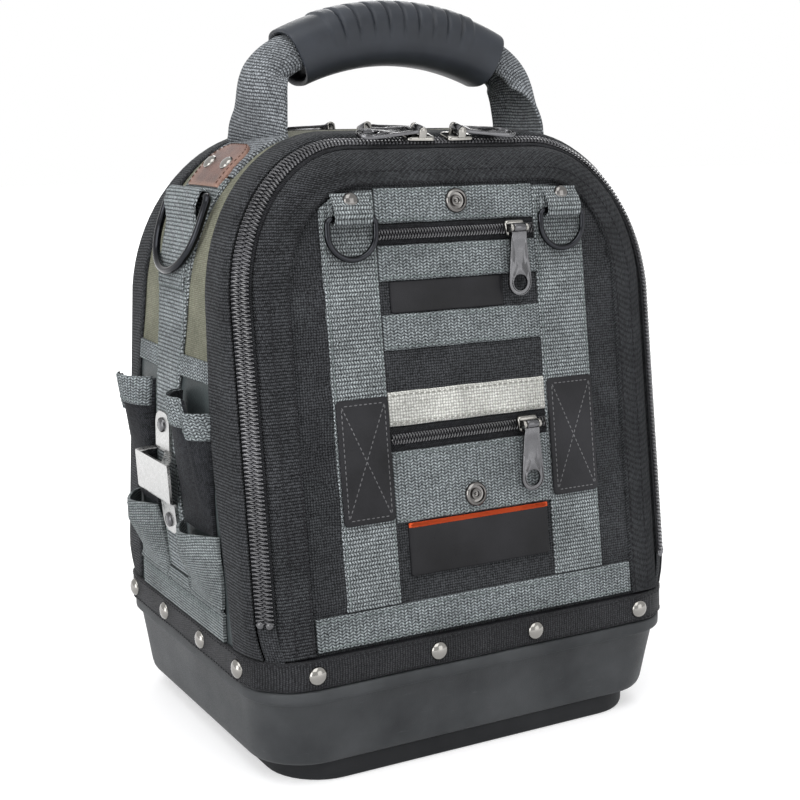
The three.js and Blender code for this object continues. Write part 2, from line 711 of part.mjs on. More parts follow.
// A D-ring whose bar lies along x through the origin and whose bow hangs down -z
function dRing({ half, drop, wire }) {
  const bend = RING_BEND;
  const arm = drop * RING_ARM_SHARE;
  const path = [];
  const arc = (cx, cz, rx, rz, from, to, steps) => {
    for (let k = 0; k <= steps; k++) {
      const angle = degToRad(lerp(from, to, k / steps));
      path.push(new THREE.Vector2(cx + rx * Math.cos(angle), cz + rz * Math.sin(angle)));
    }
  };
  arc(half - bend, -bend, bend, bend, 90, 0, RING_BEND_STEPS);
  arc(0, -arm, half, drop - arm, 0, -180, RING_BOW_STEPS);
  arc(bend - half, -bend, bend, bend, 180, 90, RING_BEND_STEPS);
  const rings = path.map((point, k) => {
    const before = path[(k + path.length - 1) % path.length];
    const after = path[(k + 1) % path.length];
    const along = after.clone().sub(before).normalize();
    const ring = [];
    for (let s = 0; s < RING_SIDES; s++) {
      const angle = (2 * Math.PI * (s + 0.5)) / RING_SIDES;
      const across = wire * Math.cos(angle);
      ring.push(vec(point.x + along.y * across, wire * Math.sin(angle), point.y - along.x * across));
    }
    return ring;
  });
  return loft(rings, true);
}

function makeFrontStrap(side) {
  const outer = STRAP_INNER + STRAP_WIDTH;
  const middle = STRAP_INNER + STRAP_WIDTH / 2;
  const foot = BOTTOM_WEB[1] + 2 * GAP;
  const corners = [
    [STRAP_INNER, foot],
    [outer, foot],
    [outer, strapTop(outer)],
    [middle, strapTop(middle)],
    [STRAP_INNER, strapTop(STRAP_INNER)],
  ].map(([x, z]) => [side * x, z]);
  const strap = faceOutline(side > 0 ? corners : corners.reverse(), GAP, WEB_THICK);
  const loop = loopTube(FRONT_RING);
  loop.translate(side * middle, -WEB_FACE - loopLift(FRONT_RING), upFace(FRONT_RING_Z));
  const head = domeHead(LOOP_RIVET_RADIUS, LOOP_RIVET_HEIGHT);
  const seat = vec(side * middle, -WEB_FACE, upFace(FRONT_RING_Z + LOOP_RIVET_RISE));
  return join(strap, loop, aimed(head, vec(0, -1, 0), seat));
}

function makeSnapWeb(span, rise) {
  const half = STRAP_INNER - GAP;
  const web = facePlate([-half, half], span, GAP, WEB_THICK);
  const seat = vec(0, -WEB_FACE, upFace(span[0] + rise));
  return join(web, aimed(domeHead(SNAP_RADIUS, SNAP_HEIGHT), vec(0, -1, 0), seat));
}

function makePocketZip(span) {
  const half = STRAP_INNER - GAP;
  const middle = (span[0] + span[1]) / 2;
  const chain = [middle - POCKET_CHAIN_WIDTH / 2, middle + POCKET_CHAIN_WIDTH / 2];
  return join(
    facePlate([-half, half], span, GAP, POCKET_TAPE_THICK),
    facePlate([-half, half], chain, GAP + POCKET_TAPE_THICK / 2, POCKET_TAPE_THICK / 2 + POCKET_CHAIN_RISE),
  );
}

// Sliders and pulls: pin along x, the slider's back at y = 0, outwards is -y, the pull hangs down -z

function pinHeight(slider) {
  return slider.thick + PULL_BARREL + GAP;
}

function pinRod(radius, length) {
  return new THREE.CylinderGeometry(radius, radius, length, PIN_SIDES).rotateZ(Math.PI / 2);
}

function makeSlider(slider) {
  const { alongPin, across, thick } = slider;
  const barrelHalf = PULL_NECK / 2;
  const pin = pinHeight(slider);
  const top = pin + PIN_RADIUS + POST_CAP;
  const post = (side) => {
    const near = barrelHalf + GAP;
    const x = [side * near, side * (near + POST_THICK)].sort((a, b) => a - b);
    return block(x, [-top, -thick / 2], [-POST_HALF, POST_HALF]);
  };
  const rod = pinRod(PIN_RADIUS, PULL_NECK + POST_THICK).translate(0, -pin, 0);
  const endX = alongPin / 2;
  const endZ = across / 2;
  const nose = new THREE.Shape([
    new THREE.Vector2(-endX, SLIDER_CHAMFER - endZ),
    new THREE.Vector2(SLIDER_CHAMFER - endX, -endZ),
    new THREE.Vector2(endX - SLIDER_CHAMFER, -endZ),
    new THREE.Vector2(endX, SLIDER_CHAMFER - endZ),
    new THREE.Vector2(endX, endZ),
    new THREE.Vector2(-endX, endZ),
  ]);
  const plate = new THREE.ExtrudeGeometry(nose, { depth: thick, bevelEnabled: false });
  return join(plate.rotateX(Math.PI / 2), post(-1), post(1), rod);
}

function makePull() {
  const half = PULL_WIDTH / 2;
  const neck = PULL_NECK / 2;
  const outline = new THREE.Shape();
  outline.moveTo(-neck, 0);
  outline.lineTo(-neck, -PULL_SHANK);
  outline.lineTo(-half, -(PULL_LENGTH - half));
  outline.absarc(0, -(PULL_LENGTH - half), half, Math.PI, 2 * Math.PI);
  outline.lineTo(neck, -PULL_SHANK);
  outline.lineTo(neck, 0);
  outline.holes.push(new THREE.Path().absarc(0, -(PULL_LENGTH - half), PULL_HOLE, 0, 2 * Math.PI, true));
  const plate = new THREE.ExtrudeGeometry(outline, {
    depth: PULL_THICK,
    bevelEnabled: false,
    curveSegments: PULL_SEGMENTS,
  });
  plate.rotateX(Math.PI / 2).translate(0, PULL_THICK / 2, 0);
  const barrel = pinRod(PULL_BARREL, PULL_NECK);
  const bore = pinRod(PIN_RADIUS + PIN_PLAY, 2 * PULL_NECK);
  return cut(join(plate, barrel), bore);
}

// A slider with its pull on a zip: its origin is on the zip's crest
function addSlider(group, names, slider, origin, pinAxis, outward) {
  const carrier = new THREE.Group();
  const inward = outward.clone().negate();
  const basis = new THREE.Matrix4().makeBasis(pinAxis, inward, pinAxis.clone().cross(inward));
  carrier.applyMatrix4(basis.setPosition(origin));
  group.add(carrier);
  addPiece(carrier, names.slider, makeSlider(slider), COLOURS.nickel, 0.35, 0.9);
  const swing = new THREE.Group();
  swing.position.y = -pinHeight(slider);
  swing.rotation.x = degToRad(PULL_LEAN);
  carrier.add(swing);
  addPiece(swing, names.pull, makePull(), COLOURS.gunmetal, 0.4, 0.85);
}

function addFlap(end) {
  const group = new THREE.Group();
  group.rotation.z = end === 'rear' ? Math.PI : 0;
  const frame = flapFrame();
  group.add(frame);
  addPiece(frame, `${end}_flap_panel`, makePanel(), COLOURS.canvas);
  addPiece(frame, `${end}_flap_binding`, makeBinding(), COLOURS.tape);
  const bottomHalf = HALF_WIDTH - BINDING_INNER.side[0] - BOTTOM_WEB_GAP;
  const bottom = facePlate([-bottomHalf, bottomHalf], BOTTOM_WEB, GAP, WEB_THICK);
  addPiece(frame, `${end}_web_bottom`, bottom, COLOURS.webbing);
  addPiece(group, `${end}_zip_flap_half`, makeZipHalf(1), COLOURS.zip, 0.5);
  addPiece(group, `${end}_zip_body_half`, makeZipHalf(-1), COLOURS.zip, 0.5);
  addPiece(group, `${end}_edge_tape`, makeEdgeTape(), COLOURS.tape);
  const crest = zipFrame({ angle: 90, z: 0, side: 1 });
  for (const side of [-1, 1]) {
    const worldSide = end === 'rear' ? -side : side;
    const label = worldSide < 0 ? 'left' : 'right';
    const names = { slider: `${end}_slider_${label}`, pull: `${end}_pull_${label}` };
    const origin = crest.centre.clone().addScaledVector(crest.face, ZIP_THICK / 2 + GAP);
    origin.x = side * MAIN_SLIDER_X;
    const pinAxis = crest.toFlap.clone().multiplyScalar(-side);
    addSlider(group, names, MAIN_SLIDER, origin, pinAxis, crest.face);
  }
  return { group, frame };
}

function addFrontTrim(frame) {
  const half = STRAP_INNER - GAP;
  const strip = (span) => facePlate([-half, half], span, GAP, WEB_THICK);
  addPiece(frame, 'web_top', makeSnapWeb(TOP_WEB, SNAP_TOP_RISE), COLOURS.webbing);
  addPiece(frame, 'web_upper', strip(UPPER_WEB), COLOURS.webbing);
  addPiece(frame, 'web_middle', strip(MIDDLE_WEB), COLOURS.webbing);
  addPiece(frame, 'reflective_strip', strip(REFLECTIVE), COLOURS.reflective, 0.4);
  addPiece(frame, 'web_lower', makeSnapWeb(LOWER_WEB, SNAP_LOWER_RISE), COLOURS.webbing);
  for (const [name, span] of [['upper', UPPER_ZIP], ['lower', LOWER_ZIP]]) {
    addPiece(frame, `${name}_pocket_zip`, makePocketZip(span), COLOURS.zip, 0.5);
    const crest = GAP + POCKET_TAPE_THICK + POCKET_CHAIN_RISE + GAP;
    const origin = vec(POCKET_SLIDER_X, -crest, upFace((span[0] + span[1]) / 2));
    const names = { slider: `${name}_pocket_slider`, pull: `${name}_pocket_pull` };
    addSlider(frame, names, POCKET_SLIDER, origin, vec(1, 0, 0), vec(0, -1, 0));
  }
  for (const side of [-1, 1]) {
    const label = side < 0 ? 'left' : 'right';
    addPiece(frame, `front_strap_${label}`, makeFrontStrap(side), COLOURS.webbing);
    const near = STRAP_INNER + PATCH_MARGIN;
    const far = STRAP_INNER + STRAP_WIDTH - PATCH_MARGIN;
    const x = [side * near, side * far].sort((a, b) => a - b);
    const patch = facePlate(x, PATCH_SPAN, WEB_FACE + GAP, PATCH_THICK);
    addPiece(frame, `reinforcing_patch_${label}`, patch, COLOURS.vinyl, 0.6);
    const middle = side * (STRAP_INNER + STRAP_WIDTH / 2);
    const ring = addPiece(frame, `front_ring_${label}`, dRing(FRONT_RING), COLOURS.gunmetal, 0.35, 0.9);
    ring.position.set(middle, -WEB_FACE - loopLift(FRONT_RING), upFace(FRONT_RING_Z));
    ring.rotation.x = degToRad(-FRONT_RING.lean);
  }
  const liningHalf = LINING_WIDTH / 2;
  const lining = [PANEL_THICK + GAP, PANEL_THICK + GAP + LINING_THICK];
  const pocket = block([-liningHalf, liningHalf], lining, LINING_SPAN.map(upFace));
  addPiece(frame, 'front_flap_lining', pocket, COLOURS.lining);
}

// Side straps, leather patches, side rings, pockets and the clip

function shellStrip(stations, halfWidths, low, thick) {
  const grid = (lift) => stations.map((station, i) => (
    [-halfWidths[i], 0, halfWidths[i]].map((y) => (
      station.angle === 0 ? sidePoint(station.side, y, station.z, lift) : shellPoint(station, y, lift)
    ))
  ));
  return slab(grid(low + thick), grid(low));
}

function ringSeat(side) {
  const station = { angle: SIDE_RING.angle, z: 0, side };
  return shellPoint(station, 0, WEB_FACE + loopLift(SIDE_RING));
}

function makeSideStrap(side) {
  const wide = SIDE_STRAP_WIDTH / 2;
  const narrow = SIDE_STRAP_NARROW / 2;
  const levels = [LOWER_NOTCH_TOP + 2 * GAP, ...FLAT_FACET].map((z) => [0, z, narrow]);
  const upper = [FLAT_FACET[1] + SIDE_STRAP_FLARE, UPPER_FACET_Z, ARCH_Z].map((z) => [0, z, wide]);
  const bends = STRAP_ANGLES.map((angle) => [angle, 0, wide]);
  const rows = [...levels, ...upper, ...bends];
  const stations = rows.map(([angle, z]) => ({ angle, z, side }));
  const strap = shellStrip(stations, rows.map((row) => row[2]), GAP, WEB_THICK);
  const seat = ringSeat(side);
  const loop = loopTube(SIDE_RING).rotateZ(Math.PI / 2).translate(seat.x, seat.y, seat.z);
  return join(strap, loop);
}

function makeLeatherPatch(side) {
  const stations = LEATHER_ANGLES.map((angle) => ({ angle, z: 0, side }));
  const half = LEATHER_HALF;
  const patch = shellStrip(stations, [half, half, half], GAP, LEATHER_THICK);
  const heads = [-1, 1].map((sign) => {
    const station = stations[1];
    const seat = shellPoint(station, (sign * half) / 2, GAP + LEATHER_THICK);
    return aimed(domeHead(RIVET_RADIUS, RIVET_HEIGHT), archSpot(station, 0).normal, seat);
  });
  return join(patch, ...heads);
}

function makeUpperPocket(side, end) {
  const [rows, columns] = UPPER_POCKET_GRID;
  const grid = (wall) => Array.from({ length: rows }, (_, i) => {
    const share = i / (rows - 1);
    const z = lerp(LOWER_POUCH_TOP + POUCH_GAP, FLAT_FACET[1], share);
    const swell = lerp(UPPER_POCKET_SWELL[0], UPPER_POCKET_SWELL[1], share);
    return Array.from({ length: columns }, (_, j) => {
      const across = j / (columns - 1);
      const y = end * lerp(UPPER_POCKET_NEAR, UPPER_POCKET_FAR, across);
      return sidePoint(side, y, z, POUCH_GAP + swell * Math.sin(Math.PI * across) + wall);
    });
  });
  return slab(grid(POCKET_WALL), grid(0));
}

function makeLowerPockets(side) {
  const near = LOWER_POUCH_NEAR;
  const far = LOWER_POUCH_FAR;
  const pouch = (from, to) => LOWER_POUCH_SHARES.map((share) => (
    { y: lerp(from, to, share), swell: Math.sin(Math.PI * share) }
  ));
  const columns = [...pouch(-far, -near), ...pouch(near, far)];
  const halfway = (ZIP_START_Z + FLAT_FACET[0]) / 2;
  const levels = [FLAP_Z, ZIP_START_Z, halfway, FLAT_FACET[0], LOWER_POUCH_TOP];
  const grid = (wall) => levels.map((level, i) => columns.map(({ y, swell }) => {
    const share = i / (levels.length - 1);
    const z = Math.abs(y) > near ? level : lerp(FLAP_Z, LOWER_NOTCH_TOP, share);
    const rise = LOWER_POUCH_SWELL * swell * Math.min(1, Math.max(0, i - 1) / 2);
    return sidePoint(side, y, z, POUCH_GAP + rise + wall);
  }));
  return slab(grid(POCKET_WALL), grid(0));
}

function makeTapeClip(side) {
  const seat = (z, lift) => sidePoint(side, 0, z, WEB_FACE + GAP + lift);
  const outward = archSpot({ angle: 0, z: 0, side }, 0).normal;
  const bar = (low, high, half) => {
    const corners = (start, end) => [start, end].flatMap((point) => [
      point.clone().setY(-half),
      point.clone().setY(half),
    ]);
    const inner = corners(low, high);
    const outer = inner.map((point) => point.clone().addScaledVector(outward, CLIP_THICK));
    return loft([
      [inner[0], inner[1], outer[1], outer[0]],
      [inner[2], inner[3], outer[3], outer[2]],
    ]);
  };
  const tongue = CLIP_TONGUE_WIDTH / 2;
  const upper = bar(seat(CLIP_BOX[1] + CLIP_JOG, 0), seat(CLIP_SPAN[1], 0), tongue);
  const lower = bar(seat(CLIP_SPAN[0], 0), seat(CLIP_BOX[0] - CLIP_JOG, 0), tongue);
  const box = bar(seat(CLIP_BOX[0], CLIP_STANDOFF), seat(CLIP_BOX[1], CLIP_STANDOFF), CLIP_WIDTH / 2);
  const bend = (end, sign) => {
    const depth = (lift) => seat(end, lift).x;
    const x = [depth(0), depth(CLIP_STANDOFF + CLIP_THICK)].sort((a, b) => a - b);
    const z = [end - sign * CLIP_THICK, end + sign * CLIP_JOG].sort((a, b) => a - b);
    return block(x, [-tongue, tongue], z);
  };
  const heads = [CLIP_SPAN[0] + CLIP_SCREW_INSET, CLIP_SPAN[1] - CLIP_SCREW_INSET].map((z) => (
    aimed(domeHead(CLIP_SCREW_RADIUS, CLIP_SCREW_HEIGHT), outward, seat(z, CLIP_THICK))
  ));
  return join(upper, box, lower, bend(CLIP_BOX[1], 1), bend(CLIP_BOX[0], -1), ...heads);
}

function addSides(group) {
  for (const side of [-1, 1]) {
    const label = side < 0 ? 'left' : 'right';
    addPiece(group, `side_strap_${label}`, makeSideStrap(side), COLOURS.webbing);
    addPiece(group, `leather_patch_${label}`, makeLeatherPatch(side), COLOURS.leather, 0.7);
    const ring = addPiece(group, `side_ring_${label}`, dRing(SIDE_RING), COLOURS.gunmetal, 0.35, 0.9);
    ring.position.copy(ringSeat(side));
    ring.rotation.set(0, -side * degToRad(SIDE_RING.lean), Math.PI / 2, 'YXZ');
    addPiece(group, `upper_pocket_front_${label}`, makeUpperPocket(side, -1), COLOURS.vinyl);
    addPiece(group, `upper_pocket_rear_${label}`, makeUpperPocket(side, 1), COLOURS.vinyl);
    addPiece(group, `lower_pockets_${label}`, makeLowerPockets(side), COLOURS.webbing);
  }
  addPiece(group, 'tape_clip', makeTapeClip(-1), COLOURS.steel, 0.3, 0.9);
}

// Inside fittings

function makeDivider() {
  const half = HALF_WIDTH - SHELL_THICK - DIVIDER_SIDE_GAP;
  const foot = TUB_INSIDE_X - DIVIDER_FOOT_GAP;
  const top = ARCH_RADIUS_Z - SHELL_THICK - DIVIDER_TOP_GAP;
  const shape = new THREE.Shape();
  shape.moveTo(-foot, TUB_FLOOR + GAP);
  shape.lineTo(foot, TUB_FLOOR + GAP);
  shape.lineTo(foot, HEM_TOP);
  shape.lineTo(half, HEM_TOP + DIVIDER_FLARE);
  shape.lineTo(half, ARCH_Z);
  shape.absellipse(ARCH_X, ARCH_Z, half - ARCH_X, top, 0, Math.PI / 2);
  shape.absellipse(-ARCH_X, ARCH_Z, half - ARCH_X, top, Math.PI / 2, Math.PI);
  shape.lineTo(-half, HEM_TOP + DIVIDER_FLARE);
  shape.lineTo(-foot, HEM_TOP);
  const board = new THREE.ExtrudeGeometry(shape, {
    depth: DIVIDER_THICK,
    bevelEnabled: false,
    curveSegments: DIVIDER_SEGMENTS,
  });
  return board.rotateX(Math.PI / 2).translate(0, DIVIDER_THICK / 2, 0);
}

function makeToolPockets(end) {
  const half = TUB_INSIDE_X - TOOL_POCKET_SIDE_GAP;
  const near = DIVIDER_THICK / 2 + GAP;
  const far = near + TOOL_POCKET_DEPTH;
  const span = (from, to) => [end * from, end * to].sort((a, b) => a - b);
  const body = block([-half, half], span(near, far), TOOL_POCKET_Z);
  const pitch = (2 * half - POCKET_WALL) / TOOL_POCKET_COUNT;
  const cells = Array.from({ length: TOOL_POCKET_COUNT }, (_, i) => {
    const start = -half + POCKET_WALL + i * pitch;
    const x = [start, start + pitch - POCKET_WALL];
    const z = [TOOL_POCKET_Z[0] + POCKET_WALL, TOOL_POCKET_Z[1] + 1];
    return block(x, span(near + POCKET_WALL, far - POCKET_WALL), z);
  });
  return cut(body, ...cells);
}

// Handle

function gripPoint(angle, out, y) {
  const radius = GRIP_ARC_RADIUS + out;
  const centreZ = GRIP_MIDDLE_Z - GRIP_ARC_RADIUS;
  return vec(radius * Math.sin(angle), y, centreZ + radius * Math.cos(angle));
}

function makeGrip() {
  const limit = degToRad(GRIP_HALF_ANGLE);
  const square = (value) => Math.sign(value) * Math.abs(value) ** GRIP_SQUARENESS;
  const rings = Array.from({ length: GRIP_STEPS + 1 }, (_, i) => {
    const share = (2 * i) / GRIP_STEPS - 1;
    const flare = lerp(1, GRIP_END_FLARE, Math.abs(share) ** GRIP_FLARE_POWER);
    return Array.from({ length: GRIP_SIDES }, (_, k) => {
      const around = (2 * Math.PI * k) / GRIP_SIDES;
      const out = flare * GRIP_HALF_THICK * square(Math.sin(around));
      const y = flare * GRIP_HALF_WIDTH * square(Math.cos(around));
      return gripPoint(share * limit, out, y);
    });
  });
  return loft(rings);
}

function makeHandleStrap(side) {
  const patchTop = GAP + LEATHER_THICK;
  const low = shellPoint({ angle: LEATHER_ANGLES[1], z: 0, side: 1 }, 0, patchTop);
  const high = shellPoint({ angle: LEATHER_ANGLES[2], z: 0, side: 1 }, 0, patchTop);
  const down = low.clone().sub(high).normalize();
  const up = vec(-down.z, 0, down.x);
  const seat = high.addScaledVector(down, HANDLE_STRAP_THICK / 2).addScaledVector(up, GAP);
  const limit = degToRad(GRIP_HALF_ANGLE);
  const end = gripPoint(limit, 0, 0);
  const leave = vec(Math.cos(limit), 0, -Math.sin(limit));
  const route = new THREE.CubicBezierCurve3(
    seat,
    seat.clone().addScaledVector(up, HANDLE_STRAP_RISE),
    end.clone().addScaledVector(leave, HANDLE_STRAP_RISE),
    end.clone().addScaledVector(leave, GAP),
  );
  const rings = Array.from({ length: HANDLE_STRAP_STEPS + 1 }, (_, i) => {
    const share = i / HANDLE_STRAP_STEPS;
    const point = route.getPoint(share);
    const along = route.getTangent(share);
    const normal = vec(along.z, 0, -along.x);
    const half = lerp(LEATHER_HALF, HANDLE_STRAP_NECK / 2, share ** 2);
    const corner = (y, lift) => {
      const place = point.clone().addScaledVector(normal, lift).setY(y);
      place.x *= side;
      return place;
    };
    const lift = HANDLE_STRAP_THICK / 2;
    return [corner(-half, -lift), corner(half, -lift), corner(half, lift), corner(-half, lift)];
  });
  return loft(rings);
}

// The whole bag

const bag = new THREE.Group();
addPiece(bag, 'base_tub', makeTub(), COLOURS.base, 0.6);
addPiece(bag, 'trim_band', makeBand(), COLOURS.trim, 0.6);
addPiece(bag, 'body_shell', makeShell(), COLOURS.olive);
const front = addFlap('front');
const rear = addFlap('rear');
addFrontTrim(front.frame);
bag.add(front.group, rear.group);
addSides(bag);
addPiece(bag, 'centre_divider', makeDivider(), COLOURS.board);
addPiece(bag, 'front_tool_pockets', makeToolPockets(-1), COLOURS.lining);
addPiece(bag, 'rear_tool_pockets', makeToolPockets(1), COLOURS.lining);
addPiece(bag, 'handle_grip', makeGrip(), COLOURS.rubber, 0.75);
addPiece(bag, 'handle_strap_left', makeHandleStrap(-1), COLOURS.webbing);
addPiece(bag, 'handle_strap_right', makeHandleStrap(1), COLOURS.webbing);

export default bag;
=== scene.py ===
# %% [markdown]
# # A tool bag on a moulded base
# This lesson dresses an upright technician's bag: a plastic tub, a fabric body that arches over it, a
# zipped flap front and rear, webbing, D-rings and a rubber handle. The solids of the bag are already there
# as a frame that can move. Every piece made here sits on that frame, in the same place, and all but the
# hinge cloths and the handle straps ride on one of its bodies.

# %% Load the frame
import json
import math

import bmesh
import bpy
import numpy as np
from mathutils import Matrix, Vector, noise


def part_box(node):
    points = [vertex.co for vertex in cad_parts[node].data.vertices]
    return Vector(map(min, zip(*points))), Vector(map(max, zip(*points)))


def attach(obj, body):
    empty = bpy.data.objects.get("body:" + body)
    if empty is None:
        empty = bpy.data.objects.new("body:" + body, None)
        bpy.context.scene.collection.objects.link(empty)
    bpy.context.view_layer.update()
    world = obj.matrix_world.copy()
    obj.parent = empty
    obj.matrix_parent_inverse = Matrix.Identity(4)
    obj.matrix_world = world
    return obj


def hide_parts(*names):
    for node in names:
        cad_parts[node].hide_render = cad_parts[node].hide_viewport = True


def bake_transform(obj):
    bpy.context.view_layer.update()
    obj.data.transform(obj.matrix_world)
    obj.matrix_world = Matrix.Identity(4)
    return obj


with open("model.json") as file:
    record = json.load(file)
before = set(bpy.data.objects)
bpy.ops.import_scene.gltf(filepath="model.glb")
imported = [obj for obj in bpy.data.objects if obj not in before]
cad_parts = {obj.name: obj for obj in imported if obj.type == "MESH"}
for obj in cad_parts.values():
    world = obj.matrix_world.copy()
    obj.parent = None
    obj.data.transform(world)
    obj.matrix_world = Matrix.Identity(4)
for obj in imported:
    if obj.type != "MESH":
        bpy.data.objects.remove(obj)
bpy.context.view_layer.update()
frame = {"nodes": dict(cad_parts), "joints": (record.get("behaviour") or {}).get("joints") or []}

MM = 0.001
PIVOTS = {joint["name"]: np.array(joint["pos_m"]) / MM for joint in frame["joints"] if "pos_m" in joint}

# %% [markdown]
# ## Camera
# The bag was photographed from its left front, a little above the middle. A camera can be aimed with a
# Track To constraint, but a small roll and an off-centre picture are easier to give as a matrix: its
# columns are the camera's right, up and backward directions.

# %% Camera
PICTURE = 800
FOCAL_PIXELS = 1479.5
SENSOR = 36
EYE = (-0.4047, -0.7282, 0.3371)
AZIMUTH, PITCH, ROLL = (math.radians(angle) for angle in (29.375, 10.18, -0.25))
PICTURE_MIDDLE = (398.83, 375.83)

level = math.cos(PITCH)
forward = Vector((math.sin(AZIMUTH) * level, math.cos(AZIMUTH) * level, -math.sin(PITCH)))
level_right = forward.cross(Vector((0, 0, 1))).normalized()
level_up = level_right.cross(forward)
right = level_right * math.cos(ROLL) + level_up * math.sin(ROLL)
up = level_up * math.cos(ROLL) - level_right * math.sin(ROLL)

lens = bpy.data.cameras.new("photo_lens")
lens.sensor_width = SENSOR
lens.lens = FOCAL_PIXELS * SENSOR / PICTURE
lens.shift_x = (PICTURE / 2 - PICTURE_MIDDLE[0]) / PICTURE
lens.shift_y = (PICTURE_MIDDLE[1] - PICTURE / 2) / PICTURE
lens.clip_start = 0.01
camera = bpy.data.objects.new("photo_camera", lens)
turn = Matrix((right, up, -forward)).transposed().to_4x4()
camera.matrix_world = Matrix.Translation(EYE) @ turn
bpy.context.collection.objects.link(camera)
bpy.context.scene.camera = camera
print("lens", round(lens.lens, 2), "mm")

# %% [markdown]
# ## Shader helpers
# A finish in Blender is a graph of small nodes. Each node could be made, set and linked in lines of its
# own, but then the idea of the finish is lost among them. These helpers do all three in one call: a number
# or colour is set on the socket, and another node's output is linked to it.

# %% Shader helpers
scene = bpy.context.scene
scene.view_settings.view_transform = "Standard"


def add_node(tree, kind, settings=None, **inputs):
    """A new shader node; inputs go by socket name, or by number as in0, in1 and so on."""
    made = tree.nodes.new("ShaderNode" + kind)
    for key, value in (settings or {}).items():
        setattr(made, key, value)
    for key, value in inputs.items():
        numbered = key.startswith("in") and key[2:].isdigit()
        socket = made.inputs[int(key[2:]) if numbered else key]
        if isinstance(value, bpy.types.NodeSocket):
            tree.links.new(value, socket)
        else:
            socket.default_value = value
    return made


def figure(tree, operation, first, second=0.0):
    return add_node(tree, "Math", {"operation": operation}, in0=first, in1=second).outputs[0]


def spread(tree, value, low, high, to_low=0.0, to_high=1.0):
    """The range from low to high, spread over another range."""
    inputs = {"Value": value, "From Min": low, "From Max": high, "To Min": to_low, "To Max": to_high}
    return add_node(tree, "MapRange", **inputs).outputs["Result"]


def seen_directly(tree):
    """1 for rays from the lens and from mirror-like or clear surfaces, 0 for the light between surfaces."""
    path = add_node(tree, "LightPath")
    rays = [path.outputs[name] for name in ("Is Camera Ray", "Is Glossy Ray", "Is Transmission Ray")]
    return figure(tree, "MAXIMUM", figure(tree, "MAXIMUM", rays[0], rays[1]), rays[2])


print("view transform", scene.view_settings.view_transform)

# %% [markdown]
# ## Room light
# A plain white world would light every fold alike. This one is a soft room: bright above, darker at the
# walls and darkest behind the camera, so that pockets and folds keep their shade. The lens and the metal
# see pure white instead, told apart by the kind of ray.

# %% Room light
CEILING, WALLS, FRONT_WALL = 0.85, 0.34, 0.16
CEILING_FROM, FRONT_FROM, FRONT_TO = 0.8, -0.25, -0.85
WHITE = (1, 1, 1, 1)
world = bpy.data.worlds.new("studio")
scene.world = world
world.use_nodes = True
room = world.node_tree
way = add_node(room, "SeparateXYZ", Vector=add_node(room, "TexCoord").outputs["Generated"])
height = spread(room, way.outputs["Z"], 0.0, CEILING_FROM, WALLS, CEILING)
dim = spread(room, way.outputs["Y"], FRONT_TO, FRONT_FROM, FRONT_WALL / WALLS, 1.0)
indoors = figure(room, "MULTIPLY", height, dim)
white = figure(room, "MULTIPLY", seen_directly(room), figure(room, "SUBTRACT", 1.0, indoors))
room.nodes["Background"].inputs["Color"].default_value = WHITE
room.links.new(figure(room, "ADD", indoors, white), room.nodes["Background"].inputs["Strength"])
print("room light from", FRONT_WALL, "to", CEILING)

# %% [markdown]
# ## Floor
# The bag stands on a white floor with a soft shadow. A curved backdrop would do it, but then it has to be
# lit to pure white. Here the floor adds its own glow for the lens alone, less of it near the bag, so the
# lamps stay at a plain level and the shadow still shows.

# %% Floor
FLOOR_GREY = (0.62, 0.62, 0.63, 1)
FLOOR_ROUGH = 0.9
GLOW_NEAR, GLOW_FAR = (0.2, 0.52), (0.75, 1.0)
FLOOR_REACH = 6.0
floor_paint = bpy.data.materials.new("studio_floor")
floor_paint.use_nodes = True
floor_tree = floor_paint.node_tree
floor_shader = floor_tree.nodes["Principled BSDF"]
floor_shader.inputs["Base Color"].default_value = FLOOR_GREY
floor_shader.inputs["Roughness"].default_value = FLOOR_ROUGH
floor_shader.inputs["Emission Color"].default_value = WHITE
floor_place = add_node(floor_tree, "TexCoord").outputs["Object"]
spot = add_node(floor_tree, "VectorMath", {"operation": "LENGTH"}, in0=floor_place).outputs["Value"]
glow = spread(floor_tree, spot, GLOW_NEAR[0], GLOW_FAR[0], GLOW_NEAR[1], GLOW_FAR[1])
floor_glow = figure(floor_tree, "MULTIPLY", seen_directly(floor_tree), glow)
floor_tree.links.new(floor_glow, floor_shader.inputs["Emission Strength"])
ground = bpy.data.meshes.new("studio_floor")
CORNER_SIGNS = ((-1, -1), (1, -1), (1, 1), (-1, 1))
ground.from_pydata([(x * FLOOR_REACH, y * FLOOR_REACH, 0) for x, y in CORNER_SIGNS], [], [(0, 1, 2, 3)])
ground.materials.append(floor_paint)
floor = bpy.data.objects.new("studio_floor", ground)
scene.collection.objects.link(floor)
print("floor", 2 * FLOOR_REACH, "m wide")

# %% [markdown]
# ## Lamps
# Four soft boxes shape the bag: one overhead, one on each side of the camera and a strip behind that draws
# the edge of the handle. A lamp in Blender shines along its own -Z, so each is turned from its place to the
# bag.

# %% Lamps
AIM = Vector((0, 0, 0.2))
# place, size and watts
LAMPS = {
    "overhead_softbox": ((-0.5, -0.7, 1.6), 1.4, 16),
    "left_softbox": ((-1.7, -0.5, 0.5), 1.0, 13),
    "front_fill": ((0.7, -1.9, 0.6), 1.2, 7.5),
    "rear_strip": ((0.8, 1.3, 1.1), 0.8, 8),
}
for name, (place, size, watts) in LAMPS.items():
    lamp = bpy.data.lights.new(name, "AREA")
    lamp.size = size
    lamp.energy = watts
    holder = bpy.data.objects.new(name, lamp)
    holder.location = place
    holder.rotation_euler = (AIM - Vector(place)).to_track_quat("-Z", "Y").to_euler()
    scene.collection.objects.link(holder)
print("lamps", list(LAMPS))

